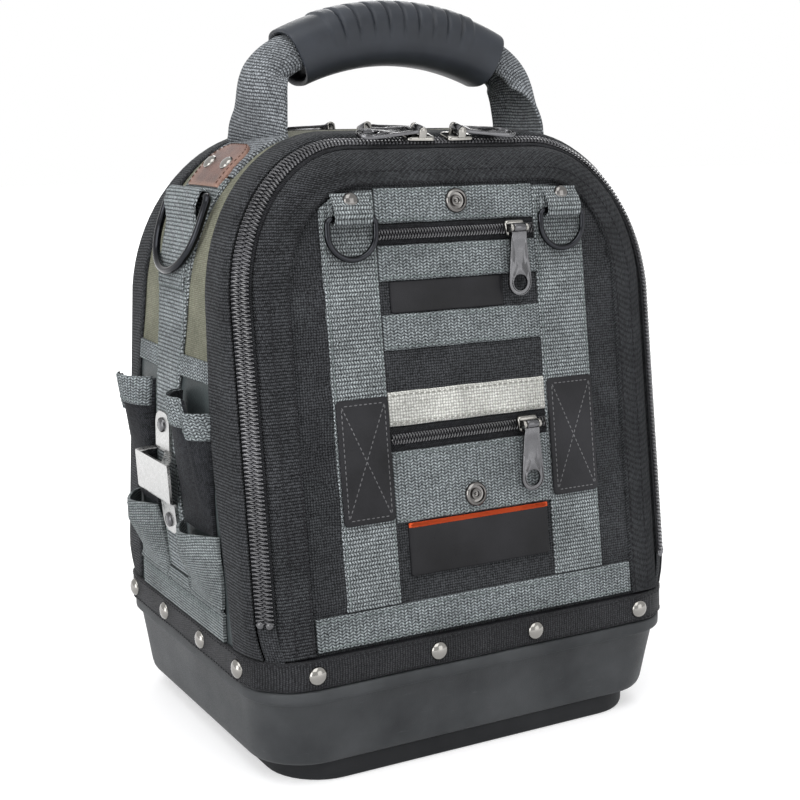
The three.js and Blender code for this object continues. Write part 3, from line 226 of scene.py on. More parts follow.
# %% [markdown]
# ## Making a piece
# Every piece below is worked out in millimetres, as points and faces, and becomes a Blender mesh in one
# place. `from_pydata` takes the lists; the helper then smooths the surface, keeps real corners sharp, lays
# out the cloth coordinates, names the finish, and ties the piece to the body that carries it.

# %% Making a piece
CORNER_ANGLE = math.radians(48)


def vec(x, y, z):
    return np.array((x, y, z), float)


def unit(arrow):
    return arrow / np.linalg.norm(arrow, axis=-1, keepdims=True)


def lerp(start, end, share):
    return start + (end - start) * share


def make_piece(name, points, faces, finish, body=None, stands_for=(), uv=None):
    """A mesh object from points in millimetres; stands_for names the solids that it takes the place of."""
    mesh = bpy.data.meshes.new(name)
    mesh.from_pydata((np.asarray(points, float) * MM).tolist(), [], faces)
    if uv is not None:
        corners = np.empty(len(mesh.loops), int)
        mesh.loops.foreach_get("vertex_index", corners)
        mesh.uv_layers.new(name="cloth").data.foreach_set("uv", np.asarray(uv, float)[corners].ravel())
    tidy = bmesh.new()
    tidy.from_mesh(mesh)
    bmesh.ops.recalc_face_normals(tidy, faces=tidy.faces)
    tidy.to_mesh(mesh)
    tidy.free()
    mesh.polygons.foreach_set("use_smooth", [True] * len(mesh.polygons))
    mesh.set_sharp_from_angle(angle=CORNER_ANGLE)
    mesh.materials.append(finish)
    piece = bpy.data.objects.new(name, mesh)
    scene.collection.objects.link(piece)
    if body:
        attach(piece, body)
    if stands_for:
        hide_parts(*stands_for)
    return piece


def grid_faces(rows, columns, start=0, wrap=False):
    """Four-sided faces of a grid; with wrap, the last column joins the first."""
    faces = []
    for row in range(rows - 1):
        for column in range(columns if wrap else columns - 1):
            after = (column + 1) % columns
            low, high = start + row * columns, start + (row + 1) * columns
            faces.append((low + column, low + after, high + after, high + column))
    return faces


def loft(rings, closed=False):
    """Points and faces through a stack of rings, capped unless the stack closes on itself."""
    rings = np.asarray(rings)
    rows, columns = rings.shape[:2]
    faces = grid_faces(rows, columns, wrap=True)
    last = (rows - 1) * columns
    if closed:
        faces += [(last + c, last + (c + 1) % columns, (c + 1) % columns, c) for c in range(columns)]
    else:
        faces += [tuple(range(columns))[::-1], tuple(range(last, last + columns))]
    return rings.reshape(-1, 3), faces


def gather(parts):
    """Several sets of points and faces as one."""
    points, faces, count = [], [], 0
    for more_points, more_faces in parts:
        points.append(more_points)
        faces += [tuple(count + corner for corner in face) for face in more_faces]
        count += len(more_points)
    return np.concatenate(points), faces


def wire(path, radius, sides=12, closed=False, hint=(0, 1, 0)):
    """A round wire along a path; hint is a direction that the path keeps away from."""
    path = np.asarray(path, float)
    ahead = np.roll(path, -1, 0) - np.roll(path, 1, 0) if closed else np.gradient(path, axis=0)
    side = unit(np.cross(unit(ahead), np.asarray(hint, float)))
    lift = np.cross(side, unit(ahead))
    turns = np.linspace(0, 2 * math.pi, sides, endpoint=False)[None, :, None]
    rings = path[:, None] + radius * (np.cos(turns) * side[:, None] + np.sin(turns) * lift[:, None])
    return loft(rings, closed)


def dome(profile, seat, outward, sides=20):
    """A turned head, given as (radius, height) from its edge to its middle, seated on a surface."""
    outward = unit(np.asarray(outward, float))
    side = unit(np.cross(outward, (0.3, 0.5, 0.8)))
    other = np.cross(outward, side)
    turns = np.linspace(0, 2 * math.pi, sides, endpoint=False)[:, None]
    rings = [seat + outward * height + radius * (np.cos(turns) * side + np.sin(turns) * other)
             for radius, height in profile]
    return loft(rings)


print("helpers: piece, loft, wire, dome")

# %% [markdown]
# ## Cloth, straps and stitches
# Cloth here is a thin closed sheet: an outer grid of points, an inner one, and a rim between them. Its UV
# map is in millimetres, across and along the cloth, so that a weave keeps its real size on every piece. A
# strap is such a sheet with thinner edges. Stitches are small grains of thread in a row, real geometry that
# catches the light.

# %% Cloth, straps and stitches


def lay_flat(grid):
    """Cloth coordinates of a grid: millimetres across from the middle, and along from the start."""
    across = np.linalg.norm(np.diff(grid, axis=1), axis=2)
    along = np.linalg.norm(np.diff(grid, axis=0), axis=2)
    u = np.pad(np.cumsum(across, axis=1), ((0, 0), (1, 0)))
    v = np.pad(np.cumsum(along, axis=0), ((1, 0), (0, 0)))
    return np.stack([u - u.mean(axis=1, keepdims=True), v], axis=2).reshape(-1, 2)


def cloth(name, outer, inner, finish, body=None, stands_for=()):
    """A closed sheet between two grids of points, with a rim all round."""
    outer, inner = np.asarray(outer), np.asarray(inner)
    rows, columns = outer.shape[:2]
    count = rows * columns
    faces = grid_faces(rows, columns) + [face[::-1] for face in grid_faces(rows, columns, count)]
    rim = [(0, c) for c in range(columns)] + [(r, columns - 1) for r in range(1, rows)]
    rim += [(rows - 1, c) for c in range(columns - 2, -1, -1)] + [(r, 0) for r in range(rows - 2, 0, -1)]
    edge = [r * columns + c for r, c in rim]
    faces += [(b, a, a + count, b + count) for a, b in zip(edge, edge[1:] + edge[:1])]
    points = np.concatenate([outer.reshape(-1, 3), inner.reshape(-1, 3)])
    flat = lay_flat(outer)
    return make_piece(name, points, faces, finish, body, stands_for, np.concatenate([flat, flat]))


# how far a strap's edge is softened, and the share of its thickness at the edge and a third of the way in
SOFT_EDGE = 0.9
EDGE_SHARES = (0.3, 0.78)
END_SHARE = 0.7


def across_strap(half, steps=8):
    """Places across a strap, with the share of its full thickness at each."""
    middle = np.linspace(SOFT_EDGE - half, half - SOFT_EDGE, steps + 1)
    edge = [(-half, EDGE_SHARES[0]), (-half + SOFT_EDGE / 3, EDGE_SHARES[1])]
    return edge + [(place, 1.0) for place in middle] + [(-place, share) for place, share in reversed(edge)]


def strap(name, rows, halves, thick, place, finish, body=None, stands_for=(), steps=8):
    """A strap through rows; place(row, across, lift) gives a point on it."""
    outer, inner = [], []
    for k, half in enumerate(np.broadcast_to(halves, len(rows))):
        full = thick * (END_SHARE if k in (0, len(rows) - 1) else 1.0)
        spots = across_strap(half, steps)
        outer.append([place(rows[k], spot, full * share) for spot, share in spots])
        inner.append([place(rows[k], spot, 0.0) for spot, share in spots])
    return cloth(name, outer, inner, finish, body, stands_for)


STITCH_STEP = 3.4
# a grain of thread: share of its length, and its girth there
GRAIN = [(0.0, 0.0), (0.18, 0.75), (0.5, 1.0), (0.82, 0.75), (1.0, 0.0)]
GRAIN_TIP, GRAIN_FLAT = 0.2, 0.7
GRAIN_RISE, GRAIN_SINK = 0.25, 0.1
GRAIN_TURNS = (0, math.pi / 3, 2 * math.pi / 3, math.pi, 1.5 * math.pi)


def stitch_row(path, outward, length=2.5, width=0.85, step=STITCH_STEP):
    """Grains of thread along a path of points that lies on cloth facing outward."""
    path = np.asarray(path, float)
    outward = np.broadcast_to(np.asarray(outward, float), path.shape)
    distance = np.pad(np.cumsum(np.linalg.norm(np.diff(path, axis=0), axis=1)), (1, 0))

    def at(place, rows):
        return np.array([np.interp(place, distance, rows[:, axis]) for axis in range(3)])

    parts = []
    for start in np.arange(step / 2, distance[-1] - length, step):
        ends = at(start, path), at(start + length, path)
        lift = unit(at(start, outward))
        side = unit(np.cross(ends[1] - ends[0], lift))
        rings = []
        for share, girth in GRAIN:
            middle = lerp(ends[0], ends[1], share) + lift * (GRAIN_RISE * girth - GRAIN_SINK)
            reach = max(girth, GRAIN_TIP) * width / 2
            rings.append([middle + reach * (math.cos(t) * side + GRAIN_FLAT * math.sin(t) * lift)
                          for t in GRAIN_TURNS])
        parts.append(loft(rings))
    return parts


def sew(name, lines, thread, body, *size):
    """Stitches along several lines as one piece; a line is its points and the way that its cloth faces."""
    parts = [grain for points, outward in lines for grain in stitch_row(points, outward, *size)]
    return make_piece(name, *gather(parts), thread, body)


print("a stitch every", STITCH_STEP, "mm")

# %% [markdown]
# ## Finishes: woven cloth
# Every cloth on this bag is woven, and each in its own way: plain canvas, ribbed tape, slanted webbing, a
# coarse basket weave on the handle. A weave can be a picture, but then it blurs close up. Here sine waves
# over the cloth's own millimetres give the height of each yarn; that height drives the bump and paints the
# colour, with painted shade in the gaps between yarns and painted highlight on their tops.

# %% Finishes: woven cloth


def paint(red, green, blue):
    """A colour as it looks on a screen, 0 to 255, in the linear numbers that shaders use."""
    shares = [channel / 255 for channel in (red, green, blue)]
    return [((s + 0.055) / 1.055) ** 2.4 if s > 0.04045 else s / 12.92 for s in shares] + [1.0]


def start_finish(name, slot):
    """A new material with its slot noted on it, its node tree and its shader."""
    finish = bpy.data.materials.new(name)
    finish.use_nodes = True
    finish["slot"] = slot
    return finish, finish.node_tree, finish.node_tree.nodes["Principled BSDF"]


def speckle(tree, size, detail=2.0):
    """Soft random patches about as wide as size, in millimetres."""
    place = add_node(tree, "TexCoord").outputs["Object"]
    return add_node(tree, "TexNoise", Vector=place, Scale=1 / (size * MM), Detail=detail).outputs["Fac"]


def blend_colours(tree, share, first, second, kind="MIX"):
    mix = add_node(tree, "MixRGB", {"blend_type": kind}, Fac=share, Color1=first, Color2=second)
    return mix.outputs["Color"]


def grey_of(tree, value):
    return add_node(tree, "CombineColor", Red=value, Green=value, Blue=value).outputs["Color"]


def press_relief(tree, shader, height, depth):
    """Bump whose full height is depth millimetres."""
    bump = add_node(tree, "Bump", Height=height, Distance=depth * MM, Strength=1.0)
    tree.links.new(bump.outputs["Normal"], shader.inputs["Normal"])


def ridge(tree, value, pitch):
    """Rounded ridges, one every pitch millimetres."""
    wave = figure(tree, "SINE", figure(tree, "MULTIPLY", value, math.pi / pitch))
    return figure(tree, "ABSOLUTE", wave)


def crossed(tree, yarns, ribs, gap):
    """Yarns that sink to a share of their height, gap, between the ribs that cross them."""
    return figure(tree, "MULTIPLY", yarns, spread(tree, ribs, 0, 1, gap, 1))


def canvas_weave(pitch):
    def height(tree, u, v):
        return figure(tree, "SQRT", figure(tree, "MULTIPLY", ridge(tree, u, pitch), ridge(tree, v, pitch)))
    return height


def twill_weave(pitch, slope, gap=0.5):
    def height(tree, u, v):
        slanted = figure(tree, "ADD", v, figure(tree, "MULTIPLY", u, slope))
        return crossed(tree, ridge(tree, slanted, pitch), ridge(tree, u, pitch), gap)
    return height


def ribbed_weave(rib, cross, gap=0.35):
    """Ribs across the tape, each a row of short yarns that is set off from the next row."""
    def height(tree, u, v):
        row = figure(tree, "FLOOR", figure(tree, "DIVIDE", v, rib))
        shifted = figure(tree, "ADD", u, figure(tree, "MULTIPLY", row, cross / 2))
        return crossed(tree, ridge(tree, v, rib), ridge(tree, shifted, cross), gap)
    return height


def webbing_weave(rib, yarn, slope, gap):
    """Ribs across the web, each a row of yarns that slant one way, and the other way in the next rib."""
    def height(tree, u, v):
        fold = figure(tree, "PINGPONG", v, rib)
        slanted = figure(tree, "ADD", u, figure(tree, "MULTIPLY", fold, slope))
        return crossed(tree, ridge(tree, slanted, yarn), ridge(tree, v, rib), gap)
    return height


NOISE_RANGE = (0.3, 0.7)
# size and tone range of the fine noise, random fibre fuzz skewed light for painted glints, and the weight
# of the painted light from the yarn's height
FUZZ, FUZZ_AND_GLINT_TONE, YARN_TONE = 0.45, (-0.15, 0.25), 0.8
WORN_PATCH = 26
YARN_POLISH, CLOTH_SHEEN, CLOTH_SHINE = 0.15, 0.03, 0.08


def woven(name, slot, dark, light, weave, yarn, relief=0.3, rough=0.85, flecks=0.5, fade=0.2):
    """Cloth of yarns that wide, its colour painted dark in the gaps and light on the yarn tops as painted
    shade and highlight; flecks is how much that painted light changes from yarn to yarn, as painted glints,
    and fade how unevenly it is worn.
    """
    finish, tree, shader = start_finish(name, slot)
    flat = add_node(tree, "SeparateXYZ", Vector=add_node(tree, "UVMap", {"uv_map": "cloth"}).outputs["UV"])
    u, v = flat.outputs["X"], flat.outputs["Y"]
    height = weave(tree, u, v)
    numbers = [figure(tree, "FLOOR", figure(tree, "DIVIDE", place, yarn)) for place in (u, v)]
    cell = add_node(tree, "CombineXYZ", X=numbers[0], Y=numbers[1]).outputs["Vector"]
    chance = add_node(tree, "TexWhiteNoise", {"noise_dimensions": "2D"}, Vector=cell).outputs["Value"]
    # the yarn's height paints the colour: painted shade in the gaps, painted highlight on the tops, and
    # random painted glints on single yarns
    lit = figure(tree, "MULTIPLY", height, spread(tree, chance, 0, 1, 1 - flecks, 1 + flecks))
    # fine random noise: fibre fuzz, and painted glints where it is lighter
    fuzz_and_glints = spread(tree, speckle(tree, FUZZ), *NOISE_RANGE, *FUZZ_AND_GLINT_TONE)
    tone = figure(tree, "ADD", figure(tree, "MULTIPLY", lit, YARN_TONE), fuzz_and_glints)
    worn = spread(tree, speckle(tree, WORN_PATCH, 4), *NOISE_RANGE, 1 - fade, 1 + fade)
    yarns_and_painted_light = blend_colours(tree, tone, paint(*dark), paint(*light))
    faded = blend_colours(tree, 1.0, yarns_and_painted_light, grey_of(tree, worn), "MULTIPLY")
    tree.links.new(faded, shader.inputs["Base Color"])
    tree.links.new(spread(tree, height, 0, 1, rough, rough - YARN_POLISH), shader.inputs["Roughness"])
    shader.inputs["Sheen Weight"].default_value = CLOTH_SHEEN
    shader.inputs["Specular IOR Level"].default_value = CLOTH_SHINE
    press_relief(tree, shader, height, relief)
    return finish


print("weaves: canvas, twill, ribbed, webbing")

# %% [markdown]
# ## The cloths of this bag
# The webbing is grey, with slanted yarns that change sides at every rib, and coarser on the handle. Two
# colours are given for each cloth: painted shade for the gaps, and for the top of the yarns their own
# colour with a painted highlight. The weave's own sizes are in millimetres.

# %% The cloths of this bag
BLACK, WEB = "black_canvas", "grey_webbing"
# painted shade in the gaps between the yarns of the grey webbings
WEB_GAP_SHADE = (14, 16, 17)
BLACK_CANVAS = woven(
    "black_canvas", BLACK, (7, 7, 8), (77, 79, 82), canvas_weave(1.4), yarn=0.7, relief=0.4, flecks=0.6)
OLIVE_CANVAS = woven(
    "olive_canvas", "olive_canvas", (80, 81, 68), (142, 142, 126), canvas_weave(1.0),
    yarn=1.0, relief=0.2, flecks=0.3)
EDGE_TAPE = woven(
    "ribbed_tape", "binding_tape", (6, 6, 7), (79, 81, 84), ribbed_weave(1.6, 1.1),
    yarn=0.8, relief=0.4, flecks=0.6)
BAND_TAPE = woven(
    "band_tape", "band_vinyl", (14, 14, 15), (66, 67, 70), ribbed_weave(1.5, 1.1),
    yarn=0.75, relief=0.3, rough=0.6)
GREY_WEBBING = woven(
    "grey_webbing", WEB, WEB_GAP_SHADE, (177, 185, 188), webbing_weave(2.0, 1.6, slope=0.55, gap=0.3),
    yarn=0.95, relief=0.6, flecks=0.4)
STRAP_WEBBING = woven(
    "strap_webbing", WEB, WEB_GAP_SHADE, (196, 204, 207), webbing_weave(2.0, 1.6, slope=0.5, gap=0.05),
    yarn=0.95, relief=0.7, flecks=0.4)
HANDLE_WEBBING = woven(
    "handle_webbing", WEB, (18, 19, 21), (168, 173, 178), ribbed_weave(1.8, 1.5),
    yarn=0.9, relief=0.6, flecks=0.5)
POUCH_CLOTH = woven(
    "pouch_cloth", WEB, (44, 48, 50), (160, 167, 168), ribbed_weave(1.5, 1.5),
    yarn=0.75, relief=0.4, flecks=0.4)
BRIGHT_TAPE = woven(
    "reflective_tape", "reflective_tape", (140, 140, 134), (238, 238, 233), canvas_weave(1.6),
    yarn=0.8, relief=0.3, rough=0.5)
POCKET_CLOTH = woven(
    "pocket_cloth", BLACK, (12, 12, 13), (58, 60, 64), twill_weave(1.2, 1.0), yarn=1.2, relief=0.2)
LINING_CLOTH = woven(
    "lining_cloth", "olive_lining", (86, 84, 62), (122, 119, 92), canvas_weave(0.9), yarn=0.9, relief=0.15)
ZIP_TAPE = woven(
    "zip_tape", "zip_coil", (9, 9, 10), (50, 51, 54), twill_weave(1.0, 0.5), yarn=1.0, relief=0.2)
print("cloths", [finish.name for finish in bpy.data.materials if "slot" in finish])

# %% [markdown]
# ## Finishes: plastic, rubber, leather and metal
# Moulded plastic has a fine grain and pale scuffs where the bag was set down; rubber is duller; leather is
# brown in uneven patches with fine creases. Each gets its pattern from noise in the object's own space, and
# wear comes from the Pointiness of edges and from stretched noise.

# %% Finishes: plastic, rubber, leather and metal


TONE_PATCH = 34
SCUFF_STRETCH, SCUFF_RANGE, SCUFF_PALE = (60, 60, 420), (0.62, 0.8), 2.6
ROUGH_LESS, ROUGH_MORE = 0.08, 0.1


def moulded(name, slot, dark, light, rough, grain=0.5, relief=0.12, scuff=0.25, shine=0.15):
    """Plastic or rubber: patches between two colours, pores of that grain, and pale scuffs."""
    finish, tree, shader = start_finish(name, slot)
    tone = spread(tree, speckle(tree, TONE_PATCH, 5), *NOISE_RANGE)
    base = blend_colours(tree, tone, paint(*dark), paint(*light))
    place = add_node(tree, "TexCoord").outputs["Object"]
    stretched = add_node(tree, "Mapping", Vector=place, Scale=SCUFF_STRETCH).outputs["Vector"]
    streaks = add_node(tree, "TexNoise", Vector=stretched, Scale=1.6, Detail=6.0, Roughness=0.7)
    marks = spread(tree, streaks.outputs["Fac"], *SCUFF_RANGE, 0, scuff)
    pale = [min(1, SCUFF_PALE * channel) for channel in paint(*light)[:3]] + [1]
    tree.links.new(blend_colours(tree, marks, base, pale), shader.inputs["Base Color"])
    pores = speckle(tree, grain, 3)
    uneven = spread(tree, pores, *NOISE_RANGE, rough - ROUGH_LESS, rough + ROUGH_MORE)
    tree.links.new(uneven, shader.inputs["Roughness"])
    shader.inputs["Specular IOR Level"].default_value = shine
    press_relief(tree, shader, pores, relief)
    return finish


TARNISH_PATCH, TARNISH_RANGE = 5, (0.25, 0.75)
POLISH_PATCH, POLISH_LESS, POLISH_MORE = 1.4, 0.7, 1.4


def metal(name, slot, colour, rough, brushed=0.1):
    """Metal that is darker in places, by that share, and more or less polished."""
    finish, tree, shader = start_finish(name, slot)
    tone = spread(tree, speckle(tree, TARNISH_PATCH, 4), *TARNISH_RANGE, 1 - brushed, 1)
    tarnished = blend_colours(tree, 1.0, paint(*colour), grey_of(tree, tone), "MULTIPLY")
    tree.links.new(tarnished, shader.inputs["Base Color"])
    shader.inputs["Metallic"].default_value = 1.0
    polish = speckle(tree, POLISH_PATCH, 3)
    uneven = spread(tree, polish, *NOISE_RANGE, rough * POLISH_LESS, rough * POLISH_MORE)
    tree.links.new(uneven, shader.inputs["Roughness"])
    return finish


HIDE_PATCH, HIDE_RANGE, EDGE_RANGE = 16, (0.32, 0.68), (0.5, 0.58)
CREASES_PER_METRE, CREASE_FLAT, CREASE_DEPTH = 900.0, 0.25, 0.5
HIDE_ROUGH, HIDE_WAX = 0.42, 0.12


def tanned(name, slot, dark, light, edge):
    """Leather between two colours, with fine creases, and worn to a third colour along its edges."""
    finish, tree, shader = start_finish(name, slot)
    patches = spread(tree, speckle(tree, HIDE_PATCH, 6), *HIDE_RANGE)
    hide = blend_colours(tree, patches, paint(*dark), paint(*light))
    bare = spread(tree, add_node(tree, "NewGeometry").outputs["Pointiness"], *EDGE_RANGE)
    tree.links.new(blend_colours(tree, bare, hide, paint(*edge)), shader.inputs["Base Color"])
    place = add_node(tree, "TexCoord").outputs["Object"]
    creases = add_node(
        tree, "TexVoronoi", {"feature": "DISTANCE_TO_EDGE"}, Vector=place, Scale=CREASES_PER_METRE)
    grain = figure(tree, "MINIMUM", creases.outputs["Distance"], CREASE_FLAT)
    shader.inputs["Roughness"].default_value = HIDE_ROUGH
    shader.inputs["Coat Weight"].default_value = HIDE_WAX
    press_relief(tree, shader, grain, CREASE_DEPTH)
    return finish


print("makers of finishes: moulded, metal, tanned")

# %% [markdown]
# ## The hard finishes of this bag
# The tub and its foot are the same plastic; the foot's darker black is painted shade, for the shadow under
# the tub. The grip is a bluer, duller rubber. Thread is made like plastic, because a stitch is smaller than
# its own yarns.

# %% The hard finishes of this bag
FINE = {"grain": 0.3, "relief": 0.02}
TUB_PLASTIC = moulded("tub_plastic", "base_plastic", (50, 52, 54), (74, 76, 78), 0.5, scuff=0.3)
# the tub's own plastic, darker as painted shade for the shadow under the tub's inward curve
SHADED_FOOT_PLASTIC = moulded("foot_plastic", "base_plastic", (28, 29, 31), (42, 43, 45), 0.6, scuff=0.2)
GRIP_RUBBER = moulded(
    "grip_rubber", "grip_rubber", (37, 40, 45), (57, 61, 68), 0.46, 0.4, 0.06, scuff=0.08, shine=0.25)
PATCH_VINYL = moulded("patch_vinyl", "black_vinyl", (24, 24, 26), (46, 46, 49), 0.42, 0.9, 0.25, scuff=0.06)
SIDE_VINYL = moulded("side_vinyl", "black_vinyl", (50, 55, 57), (78, 85, 86), 0.45, 0.8, 0.2, scuff=0.05)
LABEL_VINYL = moulded("label_vinyl", "black_vinyl", (20, 20, 22), (38, 38, 41), 0.35, 0.7, 0.1, scuff=0.08)
ORANGE_EDGE = moulded(
    "orange_edge", "reflective_tape", (196, 72, 36), (222, 92, 48), 0.6, 0.5, 0.05, scuff=0.1)
DIVIDER_BOARD = moulded(
    "divider_board", "divider_board", (44, 44, 46), (62, 62, 64), 0.8, 0.6, 0.2, scuff=0.05)
# the big zips' coil is dark nylon like the pocket coil; its lighter colours are painted highlight for the
# glints on its turns
ZIP_COIL_PAINTED_HIGHLIGHT = moulded("zip_coil", "zip_coil", (46, 46, 49), (96, 96, 100), 0.18, **FINE, scuff=0.4, shine=0.8)
FINE_COIL = moulded("fine_coil", "zip_coil", (24, 24, 26), (64, 64, 68), 0.15, **FINE, scuff=0.5, shine=0.8)
DARK_THREAD = moulded("dark_thread", "binding_tape", (26, 26, 28), (40, 40, 43), 0.7, **FINE, scuff=0.0)
GREY_THREAD = moulded("grey_thread", WEB, (96, 104, 104), (128, 137, 136), 0.75, **FINE, scuff=0.0)
PALE_THREAD = moulded("pale_thread", "black_vinyl", (96, 96, 98), (120, 120, 122), 0.7, **FINE, scuff=0.0)
TAN_THREAD = moulded("tan_thread", "brown_leather", (60, 40, 34), (86, 62, 52), 0.7, **FINE, scuff=0.0)
BROWN_LEATHER = tanned("brown_leather", "brown_leather", (52, 34, 29), (116, 80, 68), (150, 116, 100))
NICKEL = metal("nickel", "slider_metal", (142, 140, 136), 0.16)
DARK_NICKEL = metal("dark_nickel", "slider_metal", (112, 110, 108), 0.12)
GUNMETAL = metal("gunmetal", "pull_metal", (96, 96, 98), 0.22, 0.15)
BLACK_RING = metal("black_ring", "ring_metal", (46, 47, 50), 0.12, 0.1)
BRIGHT_STEEL = metal("bright_steel", "clip_steel", (178, 178, 177), 0.3, 0.06)
print("finishes", len(bpy.data.materials))

# %% [markdown]
# ## The moulded tub
# The bag stands on a tub of hard plastic with round corners, a narrower foot, a shoulder above it and a
# rolled rim. A box with a Bevel modifier would give one radius everywhere; a loft lets each level have its
# own size, which is how such a tub is drawn for moulding.

# %% The moulded tub
HALF_WIDTH, HALF_DEPTH = 128.5, 101.9
TUB_HALF = (126.5, 102.5)
FOOT_HALF = (111.0, 95.0)
CLOTH_HALF = (HALF_WIDTH, HALF_DEPTH)
TUB_CORNER = 30.0
RIM_Z, RIM_TOP, BAND_TOP = 47.0, 54.0, 69.8


def rounded_ring(half_x, half_y, radius, z, bend=10, straight=10):
    """A rounded rectangle as points, with bend steps in each corner and straight steps along each side."""
    ring = []
    quarter = [(1, 1, 0), (-1, 1, 90), (-1, -1, 180), (1, -1, 270)]
    for sign_x, sign_y, start in quarter:
        centre = vec(sign_x * (half_x - radius), sign_y * (half_y - radius), z)
        for k in range(bend + 1):
            angle = math.radians(start + 90 * k / bend)
            ring.append(centre + vec(radius * math.cos(angle), radius * math.sin(angle), 0))
    dense = []
    for k, point in enumerate(ring):
        after = ring[(k + 1) % len(ring)]
        steps = straight if k % (bend + 1) == bend else 1
        dense += [lerp(point, after, s / steps) for s in range(steps)]
    return np.array(dense)


def levels_of(half, levels):
    """Rounded rectangles from (growth, corner, height), each larger than half by its growth."""
    return [rounded_ring(half[0] + grow, half[1] + grow, corner, z) for grow, corner, z in levels]


# from the shoulder over the draft of the wall to the rolled rim, as growth and height
TUB_WALL = [
    (-6.5, 11.3), (-5.4, 11.9), (-4.7, 13.2), (-4.2, 15.2), (-3.8, 18), (-2.0, 32), (0, 46.4), (0.6, 46.9),
    (1.7, 47.3), (2.4, 48.1), (2.5, 49.4), (2.5, 52.8), (2.1, 53.7), (1.2, RIM_TOP),
]
rings = levels_of(FOOT_HALF, [(-2, TUB_CORNER - 2, 10.8)])
rings += levels_of(TUB_HALF, [(grow, TUB_CORNER, z) for grow, z in TUB_WALL])
rings += levels_of(CLOTH_HALF, [(-4.3, 26, RIM_TOP), (-4.3, 26, BAND_TOP - 1)])
rings += levels_of(CLOTH_HALF, [(-7.3, 23, BAND_TOP - 1), (-7.3, 23, RIM_Z)])
rings += levels_of(TUB_HALF, [(-9, 26, 17)])
rings += levels_of(FOOT_HALF, [(-3, 27, 13), (-4, 26, 4)])
tub = make_piece("moulded_tub", *loft(rings), TUB_PLASTIC, "bag", ["base_tub"])
# the first ring keeps the underside flat, and the last one closes the foot inside the tub
FOOT_LEVELS = [
    (-4, TUB_CORNER - 3, 0), (-1.6, TUB_CORNER - 1, 0), (-0.3, TUB_CORNER, 0.7), (0, TUB_CORNER, 2),
    (0, TUB_CORNER, 10.6), (-3, TUB_CORNER - 3, 10.9),
]
# the foot wears the darker copy of the tub's plastic, painted shade
make_piece("tub_foot", *loft(levels_of(FOOT_HALF, FOOT_LEVELS)), SHADED_FOOT_PLASTIC, "bag")
print("tub", len(tub.data.polygons), "faces")

# %% [markdown]
# ## Trim band and rivets
# A black woven band wraps the seam where the cloth enters the tub, held by domed nickel rivets. It is a
# strap that goes once round the rounded rectangle. The rivets are turned profiles in one mesh, because they
# never move apart.

# %% Trim band and rivets
BAND_HALF = (HALF_WIDTH + 0.4, HALF_DEPTH + 0.4)
BAND_THICK = 1.9
BAND_LOW = RIM_TOP + 0.3
BAND_RIPPLE, BAND_SEAM = 0.35, 6.2
band_middle = (BAND_LOW + BAND_TOP) / 2
band_line = rounded_ring(*BAND_HALF, TUB_CORNER - 1, band_middle)
band_line = np.concatenate([band_line, band_line[:1]])
ahead = np.roll(band_line[:-1], -1, 0) - np.roll(band_line[:-1], 1, 0)
band_out = unit(np.stack([ahead[:, 1], -ahead[:, 0], 0 * ahead[:, 0]], axis=1))
band_out = np.concatenate([band_out, band_out[:1]])
band_rows = range(len(band_line))


def on_band(k, across, lift):
    ripple = BAND_RIPPLE * math.sin(k * 1.7) * (across / 8)
    return band_line[k] + vec(0, 0, across) + band_out[k] * (lift + ripple * (lift > 0))


band_reach = (BAND_TOP - BAND_LOW) / 2
strap("trim_band", band_rows, band_reach, BAND_THICK, on_band, BAND_TAPE, "bag", ["trim_band"])

# radius and height, from the edge of the head to its middle
RIVET_HEAD = [(5.0, -0.8), (5.0, 0.3), (4.7, 0.9), (3.9, 1.7), (2.7, 2.3), (1.3, 2.6), (0.3, 2.7)]
FRONT_RIVETS, SIDE_RIVETS = (30.2, 100.0), (26.4, 75.0)
heads = []
for sign in (-1, 1):
    for turn_side in (-1, 1):
        for x in FRONT_RIVETS:
            seat = vec(sign * x, turn_side * (BAND_HALF[1] + BAND_THICK), band_middle)
            heads.append(dome(RIVET_HEAD, seat, (0, turn_side, 0)))
        for y in SIDE_RIVETS:
            seat = vec(sign * (BAND_HALF[0] + BAND_THICK), turn_side * y, band_middle)
            heads.append(dome(RIVET_HEAD, seat, (sign, 0, 0)))
make_piece("band_rivets", *gather(heads), NICKEL, "bag")
seams = [[on_band(k, across, BAND_THICK) for k in band_rows] for across in (-BAND_SEAM, BAND_SEAM)]
sew("band_stitches", [(line, band_out) for line in seams], DARK_THREAD, "bag")
print("rivets", len(heads))

# %% [markdown]
# ## The arch
# Body, zips and flaps all follow one outline: upright sides, two elliptic corners and a flat crown. A
# station is a place on that outline. The front and rear faces lean in towards the top, so every depth
# depends on the height.

# %% The arch
ARCH_X, ARCH_Z = 56.5, 240.5
CORNER_X, CORNER_Z = 72.0, 86.0
FLAP_Z, FACE_Y = 70.4, 98.4
LEAN = math.radians(7.8)
FACE_OUT = vec(0, -math.cos(LEAN), math.sin(LEAN))
SIDES = ((-1, "left"), (1, "right"))
ENDS = ("front", "rear")


def arch_path(low, side_steps, corner_steps, crown_steps):
    """Stations as (anchor, side, angle, level), from the left foot over the crown to the right foot."""
    half = [(ARCH_X, 0.0, level) for level in np.linspace(low, ARCH_Z, side_steps, endpoint=False)]
    half += [(ARCH_X, angle, ARCH_Z) for angle in np.linspace(0, 90, corner_steps + 1)]
    crown = [(x, 1, 90.0, 0.0) for x in np.linspace(-ARCH_X, ARCH_X, crown_steps + 1)[1:-1]]
    left = [(-anchor, -1, angle, level) for anchor, angle, level in half]
    return left + crown + [(anchor, 1, angle, level) for anchor, angle, level in reversed(half)]


def side_station(side, z):
    return (side * ARCH_X, side, 0.0, z)


def corner_station(side, angle):
    return (side * ARCH_X, side, angle, ARCH_Z)


